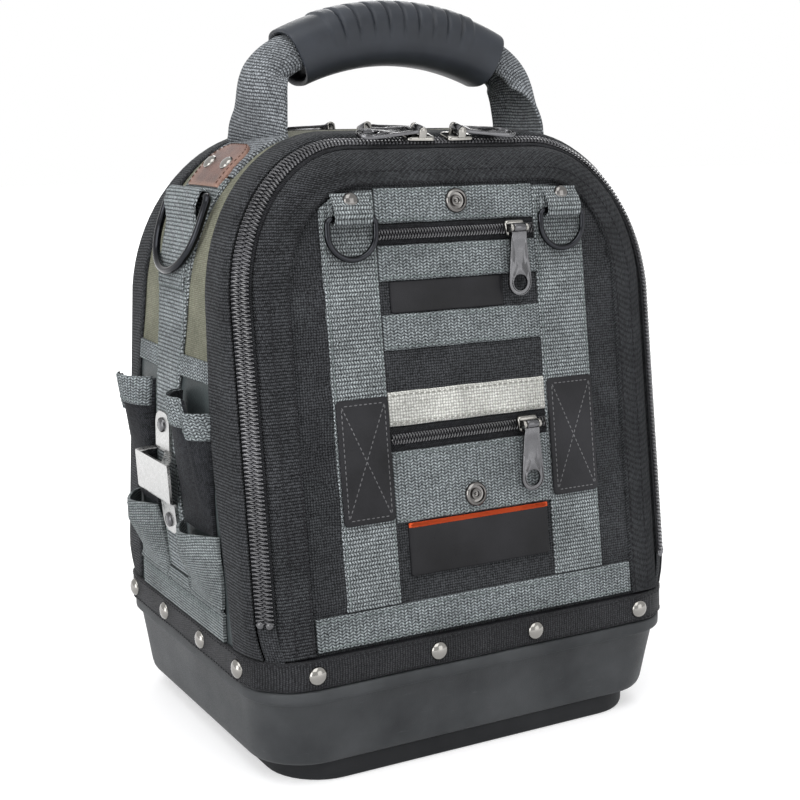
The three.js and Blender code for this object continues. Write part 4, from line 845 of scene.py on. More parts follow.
def arch_spot(station, inset=0.0):
    """A point on the outline, the direction out of it, and how far the outline has turned to the crown."""
    anchor, side, angle, level = station
    bend = math.radians(angle)
    x = anchor + side * (CORNER_X - inset) * math.cos(bend)
    z = level if angle == 0 else ARCH_Z + (CORNER_Z - inset) * math.sin(bend)
    out = unit(vec(side * math.cos(bend) / CORNER_X, 0, math.sin(bend) / CORNER_Z))
    return vec(x, 0, z), out, angle / 90


def face_y(z):
    """Half the bag's depth at a height."""
    return FACE_Y - math.tan(LEAN) * (z - FLAP_Z)


def face_point(x, z, lift=0.0):
    return vec(x, -face_y(z), z) + FACE_OUT * lift


def turned_to(end, points):
    """Points of the front flap, or the same points on the rear one."""
    return np.asarray(points) * ((1, 1, 1) if end == "front" else (-1, -1, 1))


print("arch top", arch_spot(corner_station(1, 90))[0].round(1).tolist())

# %% [markdown]
# ## The surface of the body
# The body is a shell on that outline which swells a little at the sides, flattens at the crown and draws in
# at its lower corners, where it has to meet the round tub. One function gives any point of it, and all that
# is sewn to the body is laid on that function too.

# %% The surface of the body
SWELL, SWELL_TOP, CROWN = 6.5, 260.0, 3.0
# at the sides, then at the crown: from the face to the shell's edge, and the width of the edge tape
SHELL_SETBACK, TAPE_WIDTH = (12.0, 19.0), (19.0, 14.0)
TUCK, TUCK_HEIGHT = 3.4, 20


def shell_edge(z, turn_share):
    return face_y(z) - lerp(*SHELL_SETBACK, turn_share)


def tape_end(z, turn_share):
    return shell_edge(z, turn_share) - lerp(*TAPE_WIDTH, turn_share)


def tucked_in(z):
    """How far the lower corners of the cloth draw in to meet the rounded tub."""
    return TUCK * (1 - min(max((z - FLAP_Z) / TUCK_HEIGHT, 0), 1)) ** 2


def shell_point(station, y, lift=0.0):
    spot, out, turned = arch_spot(station)
    share = min(max((spot[2] - FLAP_Z) / (SWELL_TOP - FLAP_Z), 0), 1)
    near_edge = (y / shell_edge(spot[2], turned)) ** 2
    swell = SWELL * math.sin(math.pi * share) ** 2 * (1 - near_edge) - CROWN * turned * near_edge
    return spot + vec(0, y, 0) + out * (swell + lift - tucked_in(spot[2]) * near_edge ** 6)


print("side at mid height", shell_point(side_station(1, 165), 0).round(1).tolist())

# %% [markdown]
# ## The cloth body
# The body runs up one side, over the top and down the other. A plane with a Simple Deform bend would be too
# regular: real canvas sags a little between its seams. The shell is lofted from the outline, and a slow
# noise moves it by less than a millimetre. Below a seam the sides are a darker coated cloth.

# %% The cloth body
SHELL_THICK = 3.6
SIDE_SEAM = 208.0
HEM_Z = 62.0
SAG, SAG_WAVES = 0.8, (0.028, 0.07)
SEAM_HALF, SEAM_THICK = 5.6, 1.3


def sagged(point, out):
    slow, quick = (noise.noise(Vector(point) * wave) for wave in SAG_WAVES)
    return point + out * SAG * (slow + 0.5 * quick)


def shell_sheet(name, stations, finish, stands_for=(), columns=28):
    outer, inner = [], []
    for station in stations:
        spot, out, turned = arch_spot(station)
        edge = shell_edge(spot[2], turned)
        places = np.linspace(-edge, edge, columns + 1)
        outer.append([sagged(shell_point(station, y), out * (1 - (y / edge) ** 4)) for y in places])
        inner.append([shell_point(station, y, -SHELL_THICK) for y in places])
    return cloth(name, outer, inner, finish, "bag", stands_for)


whole = arch_path(HEM_Z, 40, 18, 14)
canopy = [station for station in whole if station[2] > 0 or station[3] > SIDE_SEAM - 4]
shell_sheet("body_canopy", canopy, OLIVE_CANVAS, ["body_shell"])
for side, label in SIDES:
    stations = [side_station(side, z) for z in np.linspace(HEM_Z, SIDE_SEAM, 24)]
    shell_sheet(f"side_panel_{label}", stations, SIDE_VINYL)

    def on_seam(share, across, lift, side=side):
        z = SIDE_SEAM + across
        return shell_point(side_station(side, z), share * (tape_end(z, 0) + 3), lift + 0.25)

    rows = np.linspace(-1, 1, 25)
    strap(f"side_seam_band_{label}", rows, SEAM_HALF, SEAM_THICK, on_seam, GREY_WEBBING, "bag")
HEM_LOW, HEM_TOP = 55, 69.4
hem_profile = ((-0.2, HEM_LOW), (-0.2, HEM_TOP), (-SHELL_THICK, HEM_TOP), (-SHELL_THICK, HEM_LOW))
hem = levels_of(CLOTH_HALF, [(grow, 28 + grow, z) for grow, z in hem_profile])
make_piece("hem_wall", *loft(hem, closed=True), LABEL_VINYL, "bag")
print("shell stations", len(whole))

# %% [markdown]
# ## Edge tapes
# Round each flap runs a chunky coil zip, and on the body's side of it a broad ribbed tape. The tape starts
# at the zip, turns over the edge of the body and lies on its side.

# %% Edge tapes
ZIP_INSET, ZIP_REACH = 5.5, 5.2
# at the sides, then at the crown: the zip's turn towards the front, and its setback from the face
ZIP_TILT, ZIP_SETBACK = (45, 15), (2.5, 13.0)
EDGE_TAPE_THICK, EDGE_TAPE_LIFT, EDGE_TAPE_SINK = 1.5, 0.3, 0.75
# places along the tape and the share of its thickness there: from the zip to the edge, then on the side
EDGE_TURN = ((0, 0.3), (0.06, 0.9), (0.4, 1), (0.75, 1))
EDGE_SIDE = ((0.06, 1), (0.3, 1), (0.55, 1), (0.8, 1), (0.95, 0.9), (1, 0.3))


def zip_frame(station):
    """Middle of the zip, the direction that it faces, and the direction across it towards the flap."""
    spot, out, turned = arch_spot(station, ZIP_INSET)
    tilt = math.radians(lerp(*ZIP_TILT, turned))
    front = vec(0, -1, 0)
    middle = vec(spot[0], lerp(*ZIP_SETBACK, turned) - face_y(spot[2]), spot[2]) - out * tucked_in(spot[2])
    face = out * math.cos(tilt) + front * math.sin(tilt)
    return middle, face, front * math.cos(tilt) - out * math.sin(tilt)


def edge_tape(end):
    outer, inner = [], []
    for station in arch_path(FLAP_Z, 24, 20, 12):
        middle, face, to_flap = zip_frame(station)
        spot, out, turned = arch_spot(station)
        seam = middle - to_flap * (ZIP_REACH + 0.5) - face * EDGE_TAPE_SINK
        edge, far = shell_edge(spot[2], turned), tape_end(spot[2], turned)
        bend = shell_point(station, -edge, EDGE_TAPE_LIFT)
        rows = [(lerp(seam, bend, share), unit(face + out * share), rise) for share, rise in EDGE_TURN]
        for share, rise in EDGE_SIDE:
            rows.append((shell_point(station, -lerp(edge, far, share), EDGE_TAPE_LIFT), out, rise))
        inner.append([turned_to(end, place) for place, out, rise in rows])
        outer.append([turned_to(end, place + out * EDGE_TAPE_THICK * rise) for place, out, rise in rows])
    return cloth(f"{end}_edge_tape", outer, inner, EDGE_TAPE, "bag", [f"{end}_edge_tape"])


for end in ENDS:
    edge_tape(end)
print("edge tapes", round(TAPE_WIDTH[0]), "mm wide at the sides")

# %% [markdown]
# ## Coil zips
# A coil zip is a flattened spring: the wire goes over and under, one turn per tooth, and the other half's
# turns fall between them. That is built as it is, a helix along the outline with its two halves on
# different bodies, so that the teeth part when the flap opens.

# %% Coil zips
ZIP_FOOT = 89.0
COIL_REACH, COIL_PITCH, COIL_HEIGHT, COIL_RADIUS = 4.3, 2.1, 0.65, 0.5
COIL_LIFT, COIL_CLEAR = 0.35, 1.04
CHAIN_HALF, CHAIN_MIDDLE, CHAIN_THICK, CHAIN_SINK = 2.75, 2.77, 0.8, 1.3
CHAIN_WIDER = 1.35
# radius and height of the stop at each end of the coil, and its place beside the middle
ZIP_STOP, STOP_PLACE = [(2.0, -1), (2.0, 0.9), (1.5, 1.5), (0.3, 1.6)], 2.4


def coil_wire(middles, across, up, phase, reach, height, radius, pitch, per_turn=12):
    """A flattened helix beside a line; reach is signed and says on which side of the line it lies."""
    distance = np.pad(np.cumsum(np.linalg.norm(np.diff(middles, axis=0), axis=1)), (1, 0))
    places = np.arange(0, distance[-1], pitch / per_turn)

    def at(rows):
        return np.stack([np.interp(places, distance, rows[:, k]) for k in range(3)], axis=1)

    turns = 2 * math.pi * places / pitch + phase
    side = (reach / 2 * (COIL_CLEAR + np.cos(turns)))[:, None]
    path = at(middles) + at(across) * side + at(up) * (height * np.sin(turns))[:, None]
    along = np.gradient(at(middles), axis=0)
    ahead = unit(np.gradient(path, axis=0))
    first = unit(along - ahead * (along * ahead).sum(axis=1, keepdims=True))
    second = np.cross(ahead, first)
    ring = np.linspace(0, 2 * math.pi, 6, endpoint=False)[None, :, None]
    return loft(path[:, None] + radius * (np.cos(ring) * first[:, None] + np.sin(ring) * second[:, None]))


def zip_line(end):
    """Stations of a zip, with the middle, the facing and the crossing direction at each."""
    path = arch_path(ZIP_FOOT, 40, 48, 20)
    frames = [zip_frame(station) for station in path]
    return [path] + [turned_to(end, [item[k] for item in frames]) for k in range(3)]


def zip_half(end, half, sign, body):
    path, middles, faces, across = zip_line(end)
    node = f"{end}_zip_{half}_half"

    def on_tape(k, place, lift):
        wide = lerp(1, CHAIN_WIDER, path[k][2] / 90) if half == "flap" else 1
        beside = across[k] * sign * (CHAIN_MIDDLE + sign * place) * wide
        return middles[k] + beside + faces[k] * (lift - CHAIN_SINK)

    strap(f"{node}_tape", range(0, len(path), 2), CHAIN_HALF, CHAIN_THICK, on_tape, ZIP_TAPE, body, steps=2)
    phase = 0 if half == "body" else math.pi
    line = middles + faces * COIL_LIFT
    parts = [coil_wire(line, across, faces, phase, sign * COIL_REACH, COIL_HEIGHT, COIL_RADIUS, COIL_PITCH)]
    for k in (0, len(path) - 1):
        parts.append(dome(ZIP_STOP, middles[k] + across[k] * sign * STOP_PLACE, faces[k], 10))
    # the coil's lighter colours are painted highlight
    make_piece(f"{node}_coil", *gather(parts), ZIP_COIL_PAINTED_HIGHLIGHT, body, [node])


for end in ENDS:
    zip_half(end, "body", -1, "bag")
    zip_half(end, "flap", 1, f"{end}_flap")
print("zip stations", len(zip_line("front")[0]))

# %% [markdown]
# ## Cloth beside the zips
# A narrow web of canvas on the flap closes the way from the zip to the flap's rolled rim, and a short
# gusset on the bag closes the corner below the last tooth. Without them one could look into the bag.

# %% Cloth beside the zips
# inset and setback at the sides, then at the crown
WEB_SEAM = (12.8, 6.0, 11.4, 8.6)
WEB_PLACE, WEB_SINK, ZIP_WEB_THICK = 2.2, 1.5, 0.7
GUSSET_Z, GUSSET_HALF, GUSSET_SINK = (67.5, 91), 5.0, 1.5


def flap_spot(station, ring):
    """A point on the front flap; ring gives its inset and setback at the sides and at the crown."""
    side_inset, side_depth, top_inset, top_depth = ring
    turned = station[2] / 90
    spot = arch_spot(station, lerp(side_inset, top_inset, turned))[0]
    return vec(spot[0], lerp(side_depth, top_depth, turned) / math.cos(LEAN) - face_y(spot[2]), spot[2])


def zip_web(end):
    path, middles, faces, across = zip_line(end)
    sheets = [[], []]
    for k in range(0, len(path), 2):
        tape = middles[k] + across[k] * WEB_PLACE - faces[k] * WEB_SINK
        rim = turned_to(end, flap_spot(path[k], WEB_SEAM))
        for sheet, lift in zip(sheets, (ZIP_WEB_THICK, 0)):
            sheet.append([lerp(tape, rim, share) + across[k] * lift for share in (0, 0.5, 1)])
    cloth(f"{end}_zip_web", *sheets, BLACK_CANVAS, f"{end}_flap")


def zip_gusset(end, side, label):
    levels = [zip_frame(side_station(side, z)) for z in np.linspace(*GUSSET_Z, 8)]

    def on_gusset(k, place, lift):
        middle, face, to_flap = levels[k]
        return turned_to(end, middle + to_flap * place + face * (lift - GUSSET_SINK))

    rows = range(len(levels))
    strap(f"{end}_zip_gusset_{label}", rows, GUSSET_HALF, 1.0, on_gusset, BLACK_CANVAS, "bag", steps=6)


for end in ENDS:
    zip_web(end)
    for side, label in SIDES:
        zip_gusset(end, side, label)
print("zip webs 2, gussets 4")

# %% [markdown]
# ## Padding
# Where nothing is sewn on, the padding lifts the flap's canvas between the seams. That could be drawn by
# hand; here Blender's Cloth does it: the sewn points are pinned, a little air presses from inside, and the
# shape is kept.

# %% Padding
CLOTH_FRAMES, CLOTH_QUALITY = 20, 5
CLOTH_STRETCH, CLOTH_BEND = 12, 0.4


def points_of(mesh):
    places = np.empty(len(mesh.vertices) * 3)
    mesh.vertices.foreach_get("co", places)
    return places.reshape(-1, 3)


def blow_up(piece, loose, pressure, limit, slack):
    """Blender's Cloth, blown up from inside. Loose points move, none further than limit millimetres."""
    before = points_of(piece.data)
    sewn = piece.vertex_groups.new(name="sewn_down")
    sewn.add([k for k in range(len(before)) if k not in loose], 1.0, "REPLACE")
    swell = piece.modifiers.new("swell", "CLOTH")
    rules = swell.settings
    rules.vertex_group_mass = sewn.name
    rules.quality = CLOTH_QUALITY
    rules.tension_stiffness = CLOTH_STRETCH
    rules.compression_stiffness = CLOTH_STRETCH
    rules.bending_stiffness = CLOTH_BEND
    rules.shrink_min = -slack
    rules.use_pressure = True
    rules.uniform_pressure_force = pressure
    rules.effector_weights.gravity = 0
    swell.collision_settings.use_collision = False
    for number in range(1, CLOTH_FRAMES + 1):
        scene.frame_set(number)
    shaped = piece.evaluated_get(bpy.context.evaluated_depsgraph_get())
    move = (points_of(shaped.data) - before) / MM
    piece.modifiers.remove(swell)
    piece.vertex_groups.remove(sewn)
    scene.frame_set(1)
    far = np.linalg.norm(move, axis=1, keepdims=True)
    move *= np.tanh(far / limit) * limit / np.maximum(far, 1e-6)
    piece.data.vertices.foreach_set("co", (before + move * MM).ravel())
    piece.data.update()
    kept = np.linalg.norm(move, axis=1).max()
    print(piece.name, "blown up by", round(float(kept), 2), "of", round(float(far.max()), 2), "mm")


print("padding settles in", CLOTH_FRAMES, "frames")

# %% [markdown]
# ## Flap panels
# Each flap is a padded panel of black canvas whose rim rolls back to the zip. Its surface has a rolled
# part, which follows the outline, and a field in the middle, laid in rows. Both share their border points,
# so the panel is one mesh.

# %% Flap panels
# inset and setback at the sides, then at the crown, from the back of the rim to the face
RIM_STEPS = [
    (20, 10, 25, 10), (11.6, 10, 9.9, 10), (11.3, 8, 9.5, 9.4), (11.3, 5, 9.7, 8.0), (11.7, 3, 10.6, 6.0),
    (12.5, 1.6, 12, 4.2), (14, 0.8, 14.3, 2.6), (16, 0.3, 17, 1.4), (18, 0.1, 21, 0.4), (20, 0, 25, 0),
]
# where nothing holds the canvas down, as x from and to, and z from and to
LOOSE_FIELDS = {
    "front": [(-98, -79.5, 90, 266), (79.5, 98, 90, 266), (-47.5, 47.5, 196.5, 216)],
    "rear": [(-97, 97, 90, 148), (-97, 97, 150, 208), (-92, 92, 210, 264), (-62, 62, 266, 299)],
}
# pressure, limit in millimetres, and slack
PUFF = {"front": (3.0, 2.2, 0.03), "rear": (3.0, 3.2, 0.02)}
PANEL_SIDE, PANEL_CORNER, PANEL_COLUMNS = 44, 16, 46


def lies_loose(end, point):
    return any(x_low < point[0] < x_high and z_low < point[2] < z_high
               for x_low, x_high, z_low, z_high in LOOSE_FIELDS[end])


def flap_mesh(end):
    """Points and faces of a flap panel on the front, and the numbers of the points that lie loose."""
    path = arch_path(FLAP_Z, PANEL_SIDE, PANEL_CORNER, PANEL_COLUMNS)
    count, half = len(path), PANEL_SIDE + PANEL_CORNER + 1
    points = [flap_spot(station, ring) for ring in RIM_STEPS for station in path]
    faces = grid_faces(len(RIM_STEPS), count)
    loose = set()

    def fill(ring, is_face):
        """Fills one ring with rows of faces, and returns the numbers of its lowest row."""
        first = ring * count
        rows = []
        for row in range(half):
            left, right = points[first + row], points[first + count - 1 - row]
            numbers = [first + row]
            for column in range(1, PANEL_COLUMNS):
                if row == half - 1:
                    numbers.append(first + half - 1 + column)
                    continue
                point = lerp(left, right, column / PANEL_COLUMNS)
                if is_face and lies_loose(end, point):
                    loose.add(len(points))
                numbers.append(len(points))
                points.append(point)
            rows.append(numbers + [first + count - 1 - row])
        for low, high in zip(rows, rows[1:]):
            faces.extend((low[c], low[c + 1], high[c + 1], high[c]) for c in range(PANEL_COLUMNS))
        return rows[0]

    back_edge, face_edge = fill(0, False), fill(len(RIM_STEPS) - 1, True)
    left_edge = [ring * count for ring in range(1, len(RIM_STEPS) - 1)]
    right_edge = [number + count - 1 for number in left_edge]
    faces.append(tuple(left_edge + face_edge + right_edge[::-1] + back_edge[::-1]))
    return np.array(points), faces, loose


def flap_panel(end):
    points, faces, loose = flap_mesh(end)
    flat = np.stack([points[:, 0], points[:, 2] / math.cos(LEAN)], axis=1)
    name = f"{end}_flap_panel"
    panel = make_piece(name, turned_to(end, points), faces, BLACK_CANVAS, f"{end}_flap", [name], flat)
    blow_up(panel, loose, *PUFF[end])


for end in ENDS:
    flap_panel(end)
print("flap panels", len(ENDS))

# %% [markdown]
# ## Flap binding
# A broad ribbed tape binds the flap's rim. It is folded over the roll and sewn down along its inner edge
# with two rows of stitches. It follows the same rings as the panel, a tape's thickness higher.

# %% Flap binding
# inset and setback at the sides and at the crown, how far the tape leans outwards, and its thickness there
BINDING_STEPS = [
    (11.3, 5, 9.6, 8.6, 0.95, 0.5), (11.7, 3, 10.6, 6.0, 0.9, 1.2), (12.5, 1.6, 12, 4.2, 0.6, 1.5),
    (14, 0.8, 14.3, 2.6, 0.35, 1.6), (16, 0.3, 17, 1.4, 0.15, 1.6), (19, 0.1, 20, 0.5, 0.05, 1.6),
    (22.5, 0, 22.5, 0.15, 0, 1.6), (26, 0, 24.5, 0, 0, 1.75), (28.4, 0, 25.8, 0, 0, 2.1),
    (29.6, 0, 26.7, 0, 0, 1.7), (30, 0, 27, 0, 0, 0.3),
]
BINDING_SEAMS = (8, 5)
BINDING_LIFT, BINDING_BACK = 0.3, 0.25


def flap_binding(end):
    outer, inner, normals = [], [], []
    for station in arch_path(FLAP_Z, 30, 26, 16):
        out = arch_spot(station)[1]
        row = [(flap_spot(station, step[:4]), unit(out * step[4] + FACE_OUT * (1 - step[4])), step[5])
               for step in BINDING_STEPS]
        outer.append([turned_to(end, place + way * (BINDING_LIFT + thick)) for place, way, thick in row])
        inner.append([turned_to(end, place + way * BINDING_BACK) for place, way, thick in row])
        normals.append(turned_to(end, [way for place, way, thick in row]))
    cloth(f"{end}_flap_binding", outer, inner, EDGE_TAPE, f"{end}_flap", [f"{end}_flap_binding"])
    outer, normals = np.array(outer), np.array(normals)
    seams = [(outer[:, column], normals[:, column]) for column in BINDING_SEAMS]
    sew(f"{end}_binding_stitches", seams, DARK_THREAD, f"{end}_flap")


for end in ENDS:
    flap_binding(end)
print("bindings", len(ENDS))

# %% [markdown]
# ## Bottom webs
# A grey web covers the foot of each flap, where it folds open. It rides on the flap and is sewn along both
# edges.

# %% Bottom webs
BOTTOM_WEB, BOTTOM_HALF = (71.0, 88.0), 97.5
BOTTOM_SEAM = 6.6
WEB_THICK, WEB_LIFT = 1.6, 0.3


def edge_seams(name, place, rows, reach, outward, thread, body):
    """A row of stitches along both edges of a web, that far from its middle."""
    seams = [[place(row, across, WEB_THICK) for row in rows] for across in (-reach, reach)]
    sew(name, [(line, outward) for line in seams], thread, body)


bottom_middle = sum(BOTTOM_WEB) / 2
bottom_reach = (BOTTOM_WEB[1] - BOTTOM_WEB[0]) / 2 / math.cos(LEAN)
for end in ENDS:
    columns = np.linspace(-BOTTOM_HALF, BOTTOM_HALF, 40)
    node, flap = f"{end}_web_bottom", f"{end}_flap"

    def on_bottom(x, across, lift, end=end):
        return turned_to(end, face_point(x, bottom_middle + across * math.cos(LEAN), WEB_LIFT + lift))

    strap(node, columns, bottom_reach, WEB_THICK, on_bottom, GREY_WEBBING, flap, [node])
    outward = turned_to(end, FACE_OUT)
    edge_seams(f"{node}_stitches", on_bottom, columns, BOTTOM_SEAM, outward, GREY_THREAD, flap)
print("bottom webs", round(2 * bottom_reach, 1), "mm wide")

# %% [markdown]
# ## Hinge cloth
# The flaps have no metal hinge: on the bag the canvas itself folds along the foot. Here it is a fixed strip
# from the body to the flap, riding on neither.

# %% Hinge cloth
# y and z of the strip from the body to the flap
HINGE_ROWS = [(-97.6, 66.5), (-98.0, 68.4), (-98.2, 70.2), (-97.6, 72.4), (-96.8, 75.0), (-96.0, 78.0)]
HINGE_HALF, HINGE_THICK = 112, 0.9


def hinge_sheet(end, setback):
    return [[turned_to(end, vec(x, y + setback, z)) for x in np.linspace(-HINGE_HALF, HINGE_HALF, 20)]
            for y, z in HINGE_ROWS]


for end in ENDS:
    hinge = cloth(f"{end}_hinge_cloth", hinge_sheet(end, 0), hinge_sheet(end, HINGE_THICK), BLACK_CANVAS)
    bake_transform(hinge)
print("hinge cloths", len(ENDS))

# %% [markdown]
# ## Webs across the front
# Five strips of webbing are sewn across the front flap, one of them pale and reflective. Their places are
# read from the frame, so they land where the solids are.

# %% Webs across the front
FACE_UP = vec(0, math.sin(LEAN), math.cos(LEAN))
STRIP_SEAM, STRIP_WAVE, STRIP_TURN = 1.7, 0.12, 0.21


def span_of(node, thick=WEB_THICK):
    """Left, right, lowest and highest place of a strip on the leaning front."""
    low, high = (np.array(corner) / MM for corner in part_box(node))
    return low[0], high[0], low[2], high[2] - (WEB_LIFT + thick) * math.sin(LEAN)


def face_strip(node, finish, thread):
    left, right, low, high = span_of(node)
    middle, half = (low + high) / 2, (high - low) / 2 / math.cos(LEAN)
    columns = np.linspace(left, right, 26)

    def on_strip(x, across, lift):
        wave = STRIP_WAVE * math.sin(x * STRIP_TURN + low)
        return face_point(x, middle + across * math.cos(LEAN) + wave * across / half, WEB_LIFT + lift)

    strap(node, columns, half, WEB_THICK, on_strip, finish, "front_flap", [node])
    edge_seams(f"{node}_stitches", on_strip, columns, half - STRIP_SEAM, FACE_OUT, thread, "front_flap")


for node in ("web_top", "web_upper", "web_middle", "web_lower"):
    face_strip(node, GREY_WEBBING, GREY_THREAD)
face_strip("reflective_strip", BRIGHT_TAPE, BRIGHT_TAPE)
print("web spans", {node: np.round(span_of(node), 1).tolist() for node in ("web_top", "web_lower")})

# %% [markdown]
# ## Labels
# In the gaps lie two bare labels of smooth vinyl, one with a thin orange edge. A scaled cube would have
# hard corners, so each is a loft of rounded outlines that shrink as they rise.

# %% Labels
# inset and share of the thickness, from the cloth to the top, and the inset where the top bulges most
PLATE_EDGE, PLATE_MIDDLE = ((0, 0), (0, 0.6), (0.25, 0.9), (0.7, 1)), 2.5
# left, right, lowest and highest place
UPPER_LABEL, LOWER_LABEL = (-42, 26, 235.2, 251.2), (-41, 45, 101, 128.6)
LABEL_TRIM = (-41, 45, 126.0, 128.4)


def face_plate(name, span, lift, thick, finish, corner=1.5, stands_for=(), pillow=0.25):
    """A thin plate with rounded corners and a softened edge, lying on the leaning front."""
    left, right, low, high = span
    half_x, half_y = (right - left) / 2, (high - low) / 2 / math.cos(LEAN)
    centre = face_point((left + right) / 2, (low + high) / 2, lift)
    rings = []
    for inset, rise in [(i, share * thick) for i, share in PLATE_EDGE] + [(PLATE_MIDDLE, thick + pillow)]:
        flat = rounded_ring(half_x - inset, half_y - inset, max(corner - inset, 0.3), 0, 5, 6)
        rings.append([centre + vec(x, 0, 0) + FACE_UP * y + FACE_OUT * rise for x, y, _ in flat])
    return make_piece(name, *loft(rings), finish, "front_flap", stands_for)


face_plate("upper_label", UPPER_LABEL, 0.25, 0.9, LABEL_VINYL)
face_plate("lower_label", LOWER_LABEL, 0.25, 1.2, LABEL_VINYL)
face_plate("lower_label_edge", LABEL_TRIM, 1.2, 0.7, ORANGE_EDGE, 0.4, pillow=0.0)
print("labels 2, trim 1")

# %% [markdown]
# ## Upright straps, patches and snaps
# Two upright straps run up the front under black vinyl patches that are sewn on with a box and a cross. At
# the top each strap carries a small loop for a D-ring.

# %% Upright straps, patches and snaps
STRAP_MIDDLE, STRAP_HALF, STRAP_FOOT = 63.7, 15.5, 88.6
STRAP_SEAM, BINDING_EDGE, BINDING_GAP = 1.6, 27.3, 2.0
PATCH_LIFT, PATCH_THICK, PATCH_SEWN = WEB_LIFT + WEB_THICK + 0.3, 1.3, WEB_LIFT + WEB_THICK + 1.85
PATCH_SEAM = (2.4, 2.6)
# length, width and step of the stitches in the sewn boxes
BOX_STITCH = (2.0, 0.6, 2.8)
SNAP_Z = (290.6, 138.5)
# radius and height of a snap socket, from its edge to its middle
SNAP = [
    (6.5, -0.6), (6.5, 0.7), (6.1, 1.6), (5.3, 2.1), (4.6, 1.8), (4.3, 0.5), (3.2, 0.3),
    (2.9, 1.3), (2.2, 1.6), (1.6, 1.3), (1.4, 0.3), (0.8, 0.2), (0.6, 0.9), (0.2, 1.0),
]


def strap_top(x):
    """Height at which an upright strap reaches under the binding."""
    reach = max(abs(x) - ARCH_X, 0) / (CORNER_X - BINDING_EDGE)
    return ARCH_Z + (CORNER_Z - BINDING_EDGE) * math.sqrt(1 - reach ** 2) - BINDING_GAP


def cross_box(half_x, half_y, centre):
    """Lines of a box with a cross in it, on the leaning front."""
    corners = [centre + vec(x * half_x, 0, 0) + FACE_UP * y * half_y for x, y in CORNER_SIGNS]
    pairs = ((0, 1), (1, 2), (2, 3), (3, 0), (0, 2), (1, 3))
    shares = np.linspace(0, 1, 5)
    return [([lerp(corners[a], corners[b], share) for share in shares], FACE_OUT) for a, b in pairs]


for side, label in SIDES:
    shares = np.linspace(0, 1, 60)
    node = f"front_strap_{label}"

    def on_strap(share, across, lift, side=side):
        x = side * STRAP_MIDDLE + across
        return face_point(x, lerp(STRAP_FOOT, strap_top(x), share), WEB_LIFT + lift)

    strap(node, shares, STRAP_HALF, WEB_THICK, on_strap, STRAP_WEBBING, "front_flap", [node])
    seam_reach = STRAP_HALF - STRAP_SEAM
    edge_seams(f"{node}_stitches", on_strap, shares, seam_reach, FACE_OUT, GREY_THREAD, "front_flap")
    node = f"reinforcing_patch_{label}"
    left, right, low, high = span_of(node)
    face_plate(node, (left, right, low, high), PATCH_LIFT, PATCH_THICK, PATCH_VINYL, 2.5, [node])
    centre = face_point((left + right) / 2, (low + high) / 2, PATCH_SEWN)
    half_x, half_y = (right - left) / 2 - PATCH_SEAM[0], (high - low) / 2 - PATCH_SEAM[1]
    box = cross_box(half_x, half_y, centre)
    sew(f"{node}_stitches", box, PALE_THREAD, "front_flap", *BOX_STITCH)

snaps = [dome(SNAP, face_point(0, z, WEB_LIFT + WEB_THICK), FACE_OUT, 28) for z in SNAP_Z]
make_piece("snap_sockets", *gather(snaps), DARK_NICKEL, "front_flap")
print("straps, patches and", len(snaps), "snaps")

# %% [markdown]
# ## D-rings and their loops
# A D-ring is a bent wire: a straight bar, two tight corners and a wide bow. The bar turns inside a loop of
# webbing that goes round it and is riveted to the strap. Each ring is its own body in the frame and swings
# about its bar, so the wire is made exactly round the joint's pivot.

# %% D-rings and their loops
RING_BEND, BOW_START = 3.0, 0.35
FRONT_RING_LEAN = math.radians(3)
LOOP_HALF, LOOP_THICK = 10.5, 1.5
# radius and height of a rivet, and its place above the bar and out from it
SMALL_RIVET = [(4.1, -0.6), (4.1, 0.3), (3.8, 1.0), (3.0, 1.7), (1.8, 2.1), (0.3, 2.3)]
RIVET_PLACE = FACE_UP * 8.8 + FACE_OUT * 0.5


def d_ring(name, pivot, bar, down, half, drop, radius, body):
    """A wire with its bar on the pivot; half is half its width and drop is how far the bow hangs below."""
    bend, arm = RING_BEND, BOW_START * drop
    turns, bow = np.linspace(0.3, math.pi / 2, 5), np.linspace(0.05, math.pi - 0.05, 30)
    corner = [(half - bend + bend * math.sin(a), bend - bend * math.cos(a)) for a in turns]
    flat = [(x, 0.0) for x in np.linspace(bend - half, half - bend, 8)] + corner
    flat += [(half * math.cos(a), arm + (drop - arm) * math.sin(a)) for a in bow]
    flat += [(-x, z) for x, z in reversed(corner)]
    path = [pivot + bar * x + down * z for x, z in flat]
    return make_piece(name, *wire(path, radius, 14, True, np.cross(bar, down)), BLACK_RING, body, [name])


def loop_route(radius, tail, flat_out, back_out, steps=12):
    """Down the front, round the bar and up again behind it, as (up, out) from the bar's middle."""
    front = [(height * tail, lerp(flat_out, radius, share))
             for height, share in ((1, 0), (0.75, 0.25), (0.5, 0.75), (0.25, 1))]
    bend = [(-radius * math.sin(a), radius * math.cos(a)) for a in np.linspace(0, math.pi, steps)]
    return np.array(front + bend + [(0.4 * tail, -radius), (0.8 * tail, back_out)])


